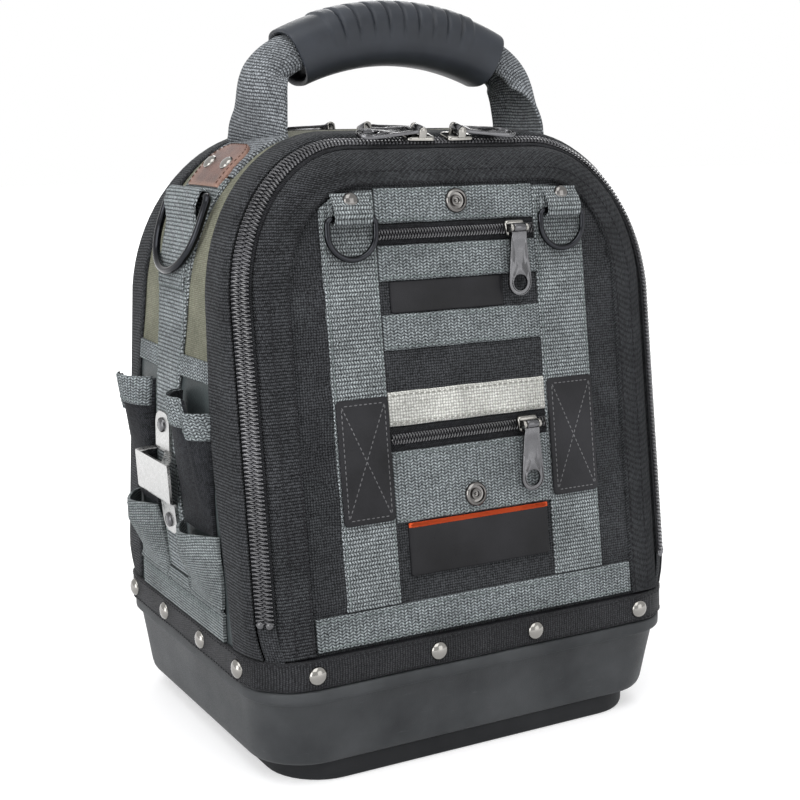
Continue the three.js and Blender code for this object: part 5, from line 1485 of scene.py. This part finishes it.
loop_line = loop_route(3.0, 12.5, -1.9, -2.9)
loop_ahead = unit(np.gradient(loop_line, axis=0))
loop_out = np.stack([-loop_ahead[:, 1], loop_ahead[:, 0]], axis=1)
ring_rivets = []
for side, label in SIDES:
    pivot = PIVOTS[f"front_ring_{label}_swing"]
    down = -FACE_UP * math.cos(FRONT_RING_LEAN) - FACE_OUT * math.sin(FRONT_RING_LEAN)
    d_ring(f"front_ring_{label}", pivot, vec(1, 0, 0), down, 13.6, 20.5, 1.6, f"front_ring_{label}")

    def on_loop(k, across, lift, pivot=pivot):
        up, out = loop_line[k] + loop_out[k] * (lift - LOOP_THICK / 2)
        return pivot + vec(across, 0, 0) + FACE_UP * up + FACE_OUT * out

    rows = range(len(loop_line))
    strap(f"front_ring_loop_{label}", rows, LOOP_HALF, LOOP_THICK, on_loop, STRAP_WEBBING, "front_flap")
    ring_rivets.append(dome(SMALL_RIVET, pivot + RIVET_PLACE, FACE_OUT))
make_piece("ring_loop_rivets", *gather(ring_rivets), DARK_NICKEL, "front_flap")
print("front rings", len(ring_rivets))

# %% [markdown]
# ## Zip pulls
# A zip pull is a tapered plate with a round hole and a raised rim, hanging from a barrel on the slider's
# pin. The plate is lofted as rings that shrink from the outline to the hole, so the rim and the recess are
# one surface with the hole already in it. No Boolean is needed.

# %% Zip pulls
PULL_DROP, PULL_HALF, PULL_NECK, PULL_HOLE = 29.0, 7.0, 4.7, 4.3
PULL_LEAN = math.radians(4.3)
NECK_TOP, NECK_LOW, ROUND_END = 2.2, 4.5, 1.5
# share of the way from the outline to the hole, and the height there: back, rim, recess, rim of the hole
PULL_RINGS = (
    (1, -0.7), (0.5, -0.9), (0, -0.8), (0, 0.5), (0.07, 0.9), (0.2, 0.9), (0.27, 0.45), (0.72, 0.45),
    (0.8, 0.9), (0.94, 0.9), (1, 0.5),
)
# place along the pin and radius
PULL_BARREL = ((-3.5, 1.5), (-3.5, 2.2), (-3.2, 2.4), (3.2, 2.4), (3.5, 2.2), (3.5, 1.5))


def pull_outline():
    """The outline from the neck's right corner round the bottom to the left corner, as (across, down)."""
    turns = np.linspace(-0.12, math.pi + 0.12, 25)
    round_end = [(PULL_HALF * math.cos(a), PULL_DROP + PULL_HALF * math.sin(a)) for a in turns]
    right = [(lerp(PULL_NECK, PULL_HALF, s), lerp(NECK_LOW, PULL_DROP - ROUND_END, s))
             for s in np.linspace(0, 1, 10)[:-1]]
    left = [(-x, d) for x, d in reversed(right)]
    top = [(x, NECK_TOP) for x in np.linspace(-PULL_NECK, PULL_NECK, 7)]
    return np.array(right + round_end + left + top)


def zip_pull(name, pin, bar, outward, down):
    hang = down * math.cos(PULL_LEAN) - outward * math.sin(PULL_LEAN)
    face = outward * math.cos(PULL_LEAN) + down * math.sin(PULL_LEAN)
    outline = pull_outline()
    angles = np.arctan2(outline[:, 1] - PULL_DROP, outline[:, 0])
    hole = np.stack([PULL_HOLE * np.cos(angles), PULL_DROP + PULL_HOLE * np.sin(angles)], axis=1)
    plate = [[pin + bar * x + hang * d + face * rise for x, d in lerp(outline, hole, share)]
             for share, rise in PULL_RINGS]
    turns = np.linspace(0, 2 * math.pi, 16, endpoint=False)
    barrel = [[pin + bar * place + radius * (math.cos(t) * hang + math.sin(t) * face) for t in turns]
              for place, radius in PULL_BARREL]
    return make_piece(name, *gather([loft(plate, True), loft(barrel, True)]), GUNMETAL, name, [name])


print("pull outline", len(pull_outline()), "points")

# %% [markdown]
# ## Sliders
# A slider is a small domed block, narrower at one end, with two ears that hold the pull's pin. Slider and
# pull are bodies of their own: the slider slides along the zip and the pull swings about the pin.

# %% Sliders
# places of an ear along the pin with its radius there, how deep it stands in the block, and the pin
EAR_STEPS, EAR_FOOT = ((3.8, 1.9), (4.2, 2.3), (5.2, 2.3), (5.6, 1.9)), -3.2
PIN_HALF, PIN_RADIUS, PIN_LIFT = 5.0, 1.1, 2.7
SLIDER_CORNER, SLIDER_TAPER = 2.2, 0.18
# width, length and thickness of a slider's block
SMALL_SLIDER, LARGE_SLIDER = (13, 8.5, 2.2), (11, 16, 2.4)


def zip_slider(name, pin, bar, outward, down, size):
    """A slider's domed body, two ears and the pin between them."""
    wide, long, thick = size
    base = pin - outward * (thick + PIN_LIFT)
    block = []
    for rise, grow in ((0, -0.6), (0.3, 0), (0.6 * thick, 0), (0.9 * thick, -0.5), (thick, -1.4)):
        flat = rounded_ring(wide / 2 + grow, long / 2 + grow, SLIDER_CORNER, 0, 5, 3)
        narrow = 1 - SLIDER_TAPER * (flat[:, 1] / long + 0.5)
        block.append([base + outward * rise + bar * x * n + down * y for (x, y, _), n in zip(flat, narrow)])
    parts = [loft(block)]
    for sign in (-1, 1):
        ear = []
        for place, reach in EAR_STEPS:
            flat = [(reach * math.cos(t), reach * math.sin(t)) for t in np.linspace(0, math.pi, 10)]
            flat += [(-reach, EAR_FOOT), (reach, EAR_FOOT)]
            ear.append([pin + bar * sign * place + down * d + outward * o for d, o in flat])
        parts.append(loft(ear))
    axis = [pin + bar * x for x in np.linspace(-PIN_HALF, PIN_HALF, 4)]
    parts.append(wire(axis, PIN_RADIUS, 10, False, outward))
    return make_piece(name, *gather(parts), NICKEL, name, [name])


for name in ("upper_pocket", "lower_pocket"):
    pin = PIVOTS[f"{name}_pull_swing"]
    zip_slider(f"{name}_slider", pin, vec(1, 0, 0), FACE_OUT, -FACE_UP, SMALL_SLIDER)
    zip_pull(f"{name}_pull", pin, vec(1, 0, 0), FACE_OUT, -FACE_UP)
_, crown_face, crown_across = zip_frame(corner_station(1, 90))
for end in ENDS:
    for side, label in SIDES:
        pin = PIVOTS[f"{end}_{label}_pull_swing"]
        outward = turned_to(end, crown_face)
        bar = turned_to(end, crown_across) * (-side if end == "front" else side)
        down = np.cross(bar, outward)
        zip_slider(f"{end}_slider_{label}", pin, bar, outward, down, LARGE_SLIDER)
        zip_pull(f"{end}_pull_{label}", pin, bar, outward, down)
print("sliders and pulls: 6 of each")

# %% [markdown]
# ## Pocket zips
# Two straight zips close the front pockets. Each has a tape, set a little into the front, and the same two
# coils as the big zips at a smaller size.

# %% Pocket zips
POCKET_ZIP_THICK, POCKET_TAPE_THICK, POCKET_ZIP_LIFT = 2.4, 0.9, 0.25
FINE_LIFT, FINE_REACH, FINE_HEIGHT, FINE_RADIUS, FINE_PITCH = 1.7, 2.5, 0.45, 0.4, 1.7

for name in ("upper_pocket", "lower_pocket"):
    node = f"{name}_zip"
    left, right, low, high = span_of(node, POCKET_ZIP_THICK)
    middle, half = (low + high) / 2, (high - low) / 2 / math.cos(LEAN)

    def on_zip(x, across, lift, middle=middle):
        return face_point(x, middle + across * math.cos(LEAN), POCKET_ZIP_LIFT + lift)

    columns = np.linspace(left, right, 20)
    strap(f"{node}_tape", columns, half, POCKET_TAPE_THICK, on_zip, ZIP_TAPE, "front_flap")
    line = np.array([on_zip(x, 0, FINE_LIFT) for x in np.linspace(left + 0.5, right - 0.5, 50)])
    ups, outs = np.broadcast_to(FACE_UP, line.shape), np.broadcast_to(FACE_OUT, line.shape)
    coils = [coil_wire(line, ups, outs, phase, reach, FINE_HEIGHT, FINE_RADIUS, FINE_PITCH)
             for phase, reach in ((0, FINE_REACH), (math.pi, -FINE_REACH))]
    make_piece(f"{node}_coil", *gather(coils), FINE_COIL, "front_flap", [node])
print("pocket zips in place")

# %% [markdown]
# ## Side straps, folds and side rings
# On each side a broad strap comes down from the handle, narrows between the pockets and ends in the lower
# pouch. A second layer is folded round the bar of the side D-ring and sewn down along its foot and its
# edges. Both follow the shell over the corner of the arch.

# %% Side straps, folds and side rings
SIDE_LIFT, SIDE_FOOT, SIDE_END_ANGLE = 0.3, 92.6, 46
# heights, and half the strap's width at each
WIDTH_LEVELS, WIDTH_HALVES = (92, 180, 200, 230, 252, 275, 298), (14, 14.5, 16, 18.6, 20.5, 22.8, 24.5)
RING_ANGLE, SIDE_RING_LEAN = 36, math.radians(20)
# angle on the corner and height over the shell, from the foot of the fold to the ring's bar
FOLD_STEPS = (
    (4, 2.0), (8, 2.0), (12, 2.0), (16, 2.0), (20, 2.1), (24, 2.6), (27, 3.6), (29.5, 5.6), (32, 8.0),
)
FOLD_HALVES, FOLD_THICK, FOLD_TAIL, BAR_WRAP = (17.4, 20.4, 22.2), 1.5, (3, 7), 2.8
EDGE_SEAM, FOLD_SEAM, FOLD_SEAM_REACH = 1.7, 1.8, 16


def side_strap(side, label):
    """The broad strap; returns the lines of its stitches."""
    stations = [side_station(side, z) for z in np.linspace(SIDE_FOOT, ARCH_Z, 44, endpoint=False)]
    stations += [corner_station(side, a) for a in np.linspace(0, SIDE_END_ANGLE, 14)]
    halves = [float(np.interp(arch_spot(s)[0][2], WIDTH_LEVELS, WIDTH_HALVES)) for s in stations]

    def on_side(station, y, lift):
        return shell_point(station, y, SIDE_LIFT + lift)

    node = f"side_strap_{label}"
    strap(node, stations, halves, WEB_THICK, on_side, STRAP_WEBBING, "bag", [node])
    normals = [arch_spot(s)[1] for s in stations]
    lines = [[on_side(s, sign * (half - EDGE_SEAM), WEB_THICK) for s, half in zip(stations, halves)]
             for sign in (-1, 1)]
    return [(line, normals) for line in lines]


def side_fold(side, label, pivot):
    """The layer that is folded over the ring's bar; returns the lines of its stitches."""
    out = arch_spot(corner_station(side, RING_ANGLE))[1]
    climb = vec(-side * out[2], 0, side * out[0])
    layer = [(corner_station(side, a), lift) for a, lift in FOLD_STEPS]
    frames = [(shell_point(s, 0, lift), arch_spot(s)[1]) for s, lift in layer]
    for a in np.linspace(0, math.pi, 11):
        radial = climb * math.sin(a) + out * math.cos(a)
        frames.append((pivot + radial * BAR_WRAP, radial))
    frames += [(pivot - out * BAR_WRAP - climb * drop, -out) for drop in FOLD_TAIL]
    halves = np.interp(range(len(frames)), (0, len(layer) - 2, len(layer)), FOLD_HALVES)

    def on_fold(k, y, lift):
        point, normal = frames[k]
        return point + vec(0, y, 0) + normal * lift

    strap(f"side_ring_loop_{label}", range(len(frames)), halves, FOLD_THICK, on_fold, STRAP_WEBBING, "bag")
    places, normals = np.linspace(-FOLD_SEAM_REACH, FOLD_SEAM_REACH, 14), [frames[k][1] for k in range(6)]
    lines = [([on_fold(k, y, FOLD_THICK) + climb * 0.6 for y in places], normals[k]) for k in (0, 1)]
    for sign in (-1, 1):
        lines.append(([on_fold(k, sign * (halves[k] - FOLD_SEAM), FOLD_THICK) for k in range(6)], normals))
    return lines


for side, label in SIDES:
    pivot = PIVOTS[f"side_ring_{label}_swing"]
    seams = side_strap(side, label) + side_fold(side, label, pivot)
    sew(f"side_strap_stitches_{label}", seams, GREY_THREAD, "bag")
    down = vec(side * math.sin(SIDE_RING_LEAN), 0, -math.cos(SIDE_RING_LEAN))
    d_ring(f"side_ring_{label}", pivot, vec(0, 1, 0), down, 27.1, 41, 2.1, f"side_ring_{label}")
print("side straps, folds and rings")

# %% [markdown]
# ## Leather patches
# Where the handle's webbing leaves the body, a piece of brown leather is sewn and riveted over it. Its
# lower end is square and hidden by the ring's fold; its upper end is round. It is a strap again, whose rows
# narrow at the top.

# %% Leather patches
LEATHER_HALF, LEATHER_THICK, LEATHER_LIFT = 21.5, 2.2, 1.0
LEATHER_ANGLES = (41.5, 64.0)
LEATHER_SEAM, LEATHER_STITCH = 2.2, (2.2, 0.7, 3.0)
STUD_ANGLE, STUD_Y = 52.0, 11
STUD_HEAD = [(0.85 * radius, 0.8 * rise) for radius, rise in RIVET_HEAD]


def leather_half(angle):
    """Half the patch's width: a slight widening, then the rounded upper end."""
    share = (angle - LEATHER_ANGLES[0]) / (LEATHER_ANGLES[1] - LEATHER_ANGLES[0])
    cap = max(share - 0.55, 0) / 0.47
    return LEATHER_HALF * (0.93 + 0.07 * share) * math.sqrt(max(1 - 0.97 * cap ** 2.4, 0.05))


for side, label in SIDES:
    angles = np.linspace(*LEATHER_ANGLES, 26)
    halves = [leather_half(a) for a in angles]
    node = f"leather_patch_{label}"

    def on_leather(angle, y, lift, side=side):
        return shell_point(corner_station(side, angle), y, LEATHER_LIFT + lift)

    strap(node, angles, halves, LEATHER_THICK, on_leather, BROWN_LEATHER, "bag", [node])
    route = [(a, LEATHER_SEAM - leather_half(a)) for a in angles[:-1]]
    route += [(a, -y) for a, y in reversed(route)]
    line = [on_leather(a, y, LEATHER_THICK) for a, y in route]
    normals = [arch_spot(corner_station(side, a))[1] for a, y in route]
    sew(f"leather_stitches_{label}", [(line, normals)], TAN_THREAD, "bag", *LEATHER_STITCH)
    out = arch_spot(corner_station(side, STUD_ANGLE))[1]
    studs = [dome(STUD_HEAD, on_leather(STUD_ANGLE, y, LEATHER_THICK), out) for y in (-STUD_Y, STUD_Y)]
    make_piece(f"leather_rivets_{label}", *gather(studs), NICKEL, "bag")
print("leather patches")

# %% [markdown]
# ## Side pockets
# Each side has two narrow pockets of black cloth with a webbing edge. A pocket is a sheet sewn down on
# three sides that stands open at the top: its rows start flat and bulge more towards the mouth. Slow
# ripples make the cloth look worn.

# %% Side pockets
POCKET_Z, POCKET_Y = (125.6, 184.0), (20.0, 54.0)
POCKET_WALL, POCKET_LIFT = 1.7, 0.6
# where the mouth steps down, and how far it stands above its solid beside the strap and beyond the step
MOUTH_STEP, MOUTH_RISE = (0.74, 0.80), (11.5, 4.0)
POCKET_BULGE = (0.5, 13.5)
TRIM_HALF, TRIM_THICK, TRIM_SHARE, TRIM_SEAM = 6.6, 1.3, 0.905, 4.6


def smooth_step(low, high, value):
    share = min(max((value - low) / (high - low), 0), 1)
    return share * share * (3 - 2 * share)


def pocket_point(side, way, across, share, lift):
    """A point of a pocket: across from the strap to the edge, share from the foot to the mouth."""
    rise = lerp(*MOUTH_RISE, smooth_step(*MOUTH_STEP, across))
    z = lerp(POCKET_Z[0], POCKET_Z[1] + rise, share)
    bulge = lerp(*POCKET_BULGE, share ** 1.2) * abs(math.sin(math.pi * across)) ** 0.5
    ripple = 0.6 * share * math.sin(9 * across + 3 * share)
    y = way * lerp(*POCKET_Y, across)
    return shell_point(side_station(side, z), y, POCKET_LIFT + bulge + ripple + lift)


def upper_pocket(side, way, node):
    shares, places = np.linspace(0, 1, 16), np.linspace(0, 1, 41)
    sheets = [[[pocket_point(side, way, a, s, wall) for a in places] for s in shares]
              for wall in (POCKET_WALL, 0)]
    cloth(node, *sheets, POCKET_CLOTH, "bag", [node])

    def on_edge(across, height, lift):
        share = TRIM_SHARE + height / (POCKET_Z[1] - POCKET_Z[0])
        return pocket_point(side, way, across, share, POCKET_WALL + 0.15 + lift)

    strap(f"{node}_edge", places, TRIM_HALF, TRIM_THICK, on_edge, GREY_WEBBING, "bag", steps=4)
    line = [on_edge(a, -TRIM_SEAM, TRIM_THICK) for a in np.linspace(0.03, 0.97, 33)]
    sew(f"{node}_stitches", [(line, vec(side, 0, 0))], GREY_THREAD, "bag")


for side, label in SIDES:
    for end, way in zip(ENDS, (-1, 1)):
        upper_pocket(side, way, f"upper_pocket_{end}_{label}")
print("upper pockets 4")

# %% [markdown]
# ## Lower pouches
# Below the pockets one grey sheet forms two wide pouches, with a notch between them for the strap. A smooth
# step cuts the notch, and a ridge and a groove along the foot are where the cloth is folded under and sewn.

# %% Lower pouches
POUCH_Y, POUCH_TOP, POUCH_NOTCH = (17.0, 58.5), 126.0, 92.0
# from and to, across, where the upper edge climbs out of the notch
NOTCH_CLIMB = (POUCH_Y[0] - 3, POUCH_Y[0] + 2)
POUCH_BULGE, BULGE_FOOT, BULGE_CLIMB = 12, 86, 28
POUCH_FOLD = (0.6, 0.33, 0.12)
# height over the cloth, level and width
RIDGE, GROOVE = (1.1, 87, 1.3), (-0.5, 84.6, 0.9)
FOOT_SEAMS, POUCH_HEM = (81.5, 83.0), 0.95


def pouch_point(side, y, share, lift):
    z = lerp(FLAP_Z, lerp(POUCH_NOTCH, POUCH_TOP, smooth_step(*NOTCH_CLIMB, abs(y))), share)
    inside = (abs(y) - POUCH_Y[0]) / (POUCH_Y[1] - POUCH_Y[0])
    swell = math.sin(math.pi * inside) if 0 < inside < 1 else 0.0
    ramp = np.clip((z - BULGE_FOOT) / BULGE_CLIMB, 0, 1)
    fold = POUCH_FOLD[0] * math.sin(POUCH_FOLD[1] * y + POUCH_FOLD[2] * z) * ramp
    seam = sum(rise * math.exp(-((z - level) / wide) ** 2) for rise, level, wide in (RIDGE, GROOVE))
    bulge = POUCH_BULGE * swell * ramp
    return shell_point(side_station(side, z), y, POCKET_LIFT + bulge + fold + seam + lift)


def lower_pouches(side, label):
    node = f"lower_pockets_{label}"
    shares, places = np.linspace(0, 1, 44), np.linspace(-POUCH_Y[1], POUCH_Y[1], 61)
    sheets = [[[pouch_point(side, y, s, wall) for y in places] for s in shares]
              for wall in (POCKET_WALL, 0)]
    cloth(node, *sheets, POUCH_CLOTH, "bag", [node])
    lines = [[shell_point(side_station(side, z), y, POCKET_LIFT + POCKET_WALL + 0.1) for y in places]
             for z in FOOT_SEAMS]
    hem = np.linspace(POUCH_Y[0] + 1, POUCH_Y[1] - 1, 16)
    lines += [[pouch_point(side, sign * y, POUCH_HEM, POCKET_WALL) for y in hem] for sign in (-1, 1)]
    sew(f"{node}_stitches", [(line, vec(side, 0, 0)) for line in lines], GREY_THREAD, "bag")


for side, label in SIDES:
    lower_pouches(side, label)
print("pairs of pouches 2")

# %% [markdown]
# ## Tape clip
# A bent strip of bright steel on the left side holds a tape measure's belt clip. It lies on the strap with
# a tongue above and below, each with a screw, and stands off in a broad plate between them. Two arms join
# the upper tongue to the plate and leave a slot.

# %% Tape clip
CLIP_THICK, CLIP_LIFT = 1.5, SIDE_LIFT + WEB_THICK + 0.3
# height, distance from the strap and half the width: the lower tongue with the plate, and the upper tongue
CLIP_PLATE = (
    (115, 0, 4), (116.3, 0, 7.2), (119, 0, 9.4), (122, 0, 10), (131, 0, 10), (132.6, 0.6, 10.6),
    (134, 2.4, 14), (135.2, 5, 20), (136.2, 6.6, 23.4), (137.4, 7, 24), (156, 7, 24), (157.2, 7, 23.4),
)
CLIP_TONGUE = ((160, 0, 10), (162, 0, 10), (175, 0, 10), (178.5, 0, 8.8), (180.4, 0, 6), (181, 0, 3.5))
# height, distance from the strap, and the arm's inner and outer edge
CLIP_ARM = (
    (161.5, 0, 4, 10), (160.4, 1.2, 6, 13), (159, 4, 11, 19), (157.4, 6.6, 15, 23), (154, 7, 16, 23.6),
)
SCREW = [(4.0, -0.4), (4.0, 0.6), (3.6, 1.2), (2.6, 1.7), (1.2, 1.85), (0.2, 1.9)]
SCREW_Z = (122, 174)


def clip_point(y, z, standoff):
    return shell_point(side_station(-1, z), 0, CLIP_LIFT) + vec(-standoff, y, 0)


def bent_sheet(rows):
    """A sheet of steel through rows of points, thickened away from the bag."""
    grid = np.array(rows)
    outer = grid + vec(-CLIP_THICK, 0, 0)
    return loft([np.concatenate([over, under[::-1]]) for over, under in zip(outer, grid)])


def clip_rows(levels):
    shares = np.linspace(-1, 1, 7)
    return [[clip_point(share * half, z, standoff) for share in shares] for z, standoff, half in levels]


sheets = [bent_sheet(clip_rows(levels)) for levels in (CLIP_PLATE, CLIP_TONGUE)]
for sign in (-1, 1):
    arm = [[clip_point(sign * y, z, standoff) for y in edges] for z, standoff, *edges in CLIP_ARM]
    sheets.append(bent_sheet(arm))
screws = [dome(SCREW, clip_point(0, z, CLIP_THICK), (-1, 0, 0)) for z in SCREW_Z]
make_piece("tape_clip", *gather(sheets), BRIGHT_STEEL, "bag", ["tape_clip"])
make_piece("tape_clip_screws", *gather(screws), GUNMETAL, "bag")
print("tape clip with", len(screws), "screws")

# %% [markdown]
# ## The grip
# The grip is moulded rubber on an arc, with a squarish section, a raised pad on top crossed by grooves, a
# mould line along each side and lipped mouths where the straps go in. It is a loft of superellipse rings
# along the arc; the pad and the grooves are small changes of each ring's height.

# %% The grip
GRIP_RADIUS, GRIP_CENTRE_Z, GRIP_ANGLE = 146.0, 232.0, math.radians(25)
GRIP_HALF, GRIP_TAPER, SQUARENESS = (17.0, 18.0), 0.95, 0.75
GROOVES, GROOVE_WIDTH = np.linspace(-0.56, 0.56, 9), 0.012
# how high the pad stands and how deep the grooves cut it, on top and at the sides
PAD_TOP, PAD_SIDE = (1.1, 2.0), (0.8, 1.5)
PAD_START, PAD_END = (0.08, 0.15), (0.66, 0.69)
MOULD_LINE, MOULD_PLACE, MOULD_WIDTH = 0.35, 0.12, 0.035
# share of the arc and of the size, from inside the mouth over its lip to the outside
MOUTH = ((0.88, 0.7), (0.9, 0.78), (0.96, 0.81), (0.985, 0.84), (1.0, 0.93), (0.997, 0.985))


def grip_point(angle, out, y):
    radius = GRIP_RADIUS + out
    return vec(radius * math.sin(angle), y, GRIP_CENTRE_Z + radius * math.cos(angle))


def grip_ring(share, size=1.0, plain=False, sides=44):
    """One ring of the grip; share runs from -1 to 1 along the arc, and a plain ring has no pad."""
    flare = lerp(1, GRIP_TAPER, abs(share) ** 2) * size
    ring = []
    for k in range(sides):
        around = 2 * math.pi * k / sides
        rise, wide = math.sin(around), math.cos(around)
        out = flare * GRIP_HALF[0] * math.copysign(abs(rise) ** SQUARENESS, rise)
        y = flare * GRIP_HALF[1] * math.copysign(abs(wide) ** SQUARENESS, wide)
        if not plain:
            pad = smooth_step(*PAD_START, rise) * (1 - smooth_step(*PAD_END, abs(share)))
            cut = max(math.exp(-((share - groove) / GROOVE_WIDTH) ** 2) for groove in GROOVES)
            out += pad * (PAD_TOP[0] - PAD_TOP[1] * cut) * rise
            y += pad * (PAD_SIDE[0] - PAD_SIDE[1] * cut) * wide
            seam = math.exp(-((rise + MOULD_PLACE) / MOULD_WIDTH) ** 2)
            y += MOULD_LINE * seam * math.copysign(1, wide)
        ring.append(grip_point(share * GRIP_ANGLE, out, y))
    return ring


rings = [grip_ring(-share, size, True) for share, size in MOUTH]
rings += [grip_ring(share) for share in np.linspace(-0.985, 0.985, 190)]
rings += [grip_ring(share, size, True) for share, size in reversed(MOUTH)]
grip = make_piece("handle_grip", *loft(rings), GRIP_RUBBER, "handle", ["handle_grip"])
print("grip", len(grip.data.polygons), "faces")

# %% [markdown]
# ## Handle straps
# The coarse webbing comes out from under the leather, folds up and enters the grip. To fit the round mouth
# it rolls into a half tube: its width stays the same, but it lies on a tighter and tighter circle.

# %% Handle straps
WEBBING_HALF, WEBBING_THICK, MOUTH_ROLL = 25.0, 2.4, 12.6
# angles of the part that lies on the shell, and how many rows lie there and climb
LYING_ANGLES, LYING_ROWS, CLIMB_ROWS = (47, 66.5), 8, 26
GRIP_ENTRY, GRIP_SEAT = 0.95, 12.0
# the pull of the curve where it leaves the shell and where it enters the grip
LEAVE_PULL, ENTER_PULL = vec(7, 0, 22), 38
STRAP_WAVE, WAVE_STEP, FLAT_BEND = 0.6, 0.45, 1e-4
CLIMB = np.clip((np.arange(LYING_ROWS + CLIMB_ROWS) - LYING_ROWS) / (CLIMB_ROWS - 1), 0, 1)


def bezier(points, share):
    a, b, c, d = points
    s = 1 - share
    return a * s ** 3 + 3 * b * s * s * share + 3 * c * s * share ** 2 + d * share ** 3


def strap_fibre(y, slant):
    """One lengthwise yarn of a handle strap, on the right side: along the shell, then up to the grip."""
    first, last = LYING_ANGLES
    last += slant * (0.5 - y / (2 * WEBBING_HALF))
    lying = [shell_point(corner_station(1, a), 0, 0.35) for a in np.linspace(first, last, LYING_ROWS)]
    leaving = vec(math.cos(GRIP_ANGLE), 0, -math.sin(GRIP_ANGLE))
    inside_grip = grip_point(GRIP_ANGLE * GRIP_ENTRY, GRIP_SEAT, 0)
    seat = lying[-1] + vec(0, 0, 0.4)
    route = [seat, seat + LEAVE_PULL, inside_grip + leaving * ENTER_PULL, inside_grip]
    line = np.array(lying + [bezier(route, share) for share in np.linspace(0.04, 1, CLIMB_ROWS)])
    ahead = unit(np.gradient(line, axis=0))
    return line, np.stack([ahead[:, 2], 0 * ahead[:, 0], -ahead[:, 0]], axis=1)


for (side, label), slant in zip(SIDES, (9.0, 0.0)):
    node = f"handle_strap_{label}"

    def on_handle_strap(k, y, lift, side=side, slant=slant):
        line, normal = strap_fibre(y, slant)
        rolled = smooth_step(-0.08, 0.72, CLIMB[k]) if CLIMB[k] > 0 else 0
        bend = max(rolled / MOUTH_ROLL, FLAT_BEND)
        wave = STRAP_WAVE * math.sin(WAVE_STEP * k) * (y / WEBBING_HALF) ** 2
        wave *= smooth_step(0.05, 0.3, CLIMB[k])
        wall = 1 / bend + lift - WEBBING_THICK / 2 + wave
        place = vec(0, wall * math.sin(y * bend), 0) + normal[k] * (wall * math.cos(y * bend) - 1 / bend)
        return (line[k] + place) * vec(side, 1, 1)

    rows = range(len(CLIMB))
    piece = strap(node, rows, WEBBING_HALF, WEBBING_THICK, on_handle_strap, HANDLE_WEBBING,
                  stands_for=[node], steps=20)
    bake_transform(piece)

# %% [markdown]
# ## Inside the bag
# With a flap open one sees a stiff divider, rows of tool pockets sewn to it, and a flat pocket behind the
# front flap. The divider's solid already has the right shape and only needs its finish. The pockets are
# cloth: each row is one sheet that touches the divider at the seams and bulges between them.

# %% Inside the bag
divider = frame["nodes"]["centre_divider"]
divider.material_slots[0].link = "OBJECT"
divider.material_slots[0].material = DIVIDER_BOARD

TOOL_HALF, TOOL_Z, TOOL_CELLS = 97.5, (12.5, 149.0), 4
TOOL_NEAR, TOOL_FAR, TOOL_WALL, TOOL_CLIMB = 2.6, 18.0, 1.5, 26
# half the width of a pocket's edge tape, its thickness, and how far its middle lies below the mouth
TOOL_TAPE, LINING_TAPE = (5.5, 0.9, 5), (6.0, 0.9, 6)
LINING_HALF, LINING_Z = 94.0, (84.0, 234.0)
LINING_DEPTH, LINING_WALL, LINING_SAG = 10.5, 1.2, 1.2


def tool_point(way, x, z, lift):
    cell = (x + TOOL_HALF) / (2 * TOOL_HALF) * TOOL_CELLS
    bulge = math.sqrt(abs(math.sin(math.pi * cell))) * smooth_step(0, TOOL_CLIMB, z - TOOL_Z[0])
    return vec(x, way * (lerp(TOOL_NEAR, TOOL_FAR, bulge) + lift), z)


def lining_point(x, z, lift):
    share_x, share_z = (x / LINING_HALF + 1) / 2, (z - LINING_Z[0]) / (LINING_Z[1] - LINING_Z[0])
    sag = LINING_SAG * math.sin(math.pi * share_x) * smooth_step(0, 0.3, share_z)
    return vec(x, (LINING_DEPTH + lift + sag) / math.cos(LEAN) - face_y(z), z)


def flat_pocket(node, edge, point, columns, levels, wall, tape, body):
    """A sheet of lining with a tape along its mouth; point(x, z, lift) gives a place on it."""
    half, thick, below = tape
    sheets = [[[point(x, z, lift) for x in columns] for z in levels] for lift in (wall, 0)]
    cloth(node, *sheets, LINING_CLOTH, body, [node])

    def on_rim(x, across, lift):
        return point(x, levels[-1] - below + across, wall + lift)

    strap(edge, columns, half, thick, on_rim, EDGE_TAPE, body, steps=3)


columns, levels = np.linspace(-TOOL_HALF, TOOL_HALF, 65), np.linspace(*TOOL_Z, 18)
for end, way in zip(ENDS, (-1, 1)):

    def on_tools(x, z, lift, way=way):
        return tool_point(way, x, z, lift)

    names = f"{end}_tool_pockets", f"{end}_tool_pocket_edge"
    flat_pocket(*names, on_tools, columns, levels, TOOL_WALL, TOOL_TAPE, "bag")
columns, levels = np.linspace(-LINING_HALF, LINING_HALF, 30), np.linspace(*LINING_Z, 26)
names = "front_flap_lining", "front_flap_lining_edge"
flat_pocket(*names, lining_point, columns, levels, LINING_WALL, LINING_TAPE, "front_flap")
print("inside: divider, two rows of tool pockets, one flap pocket")
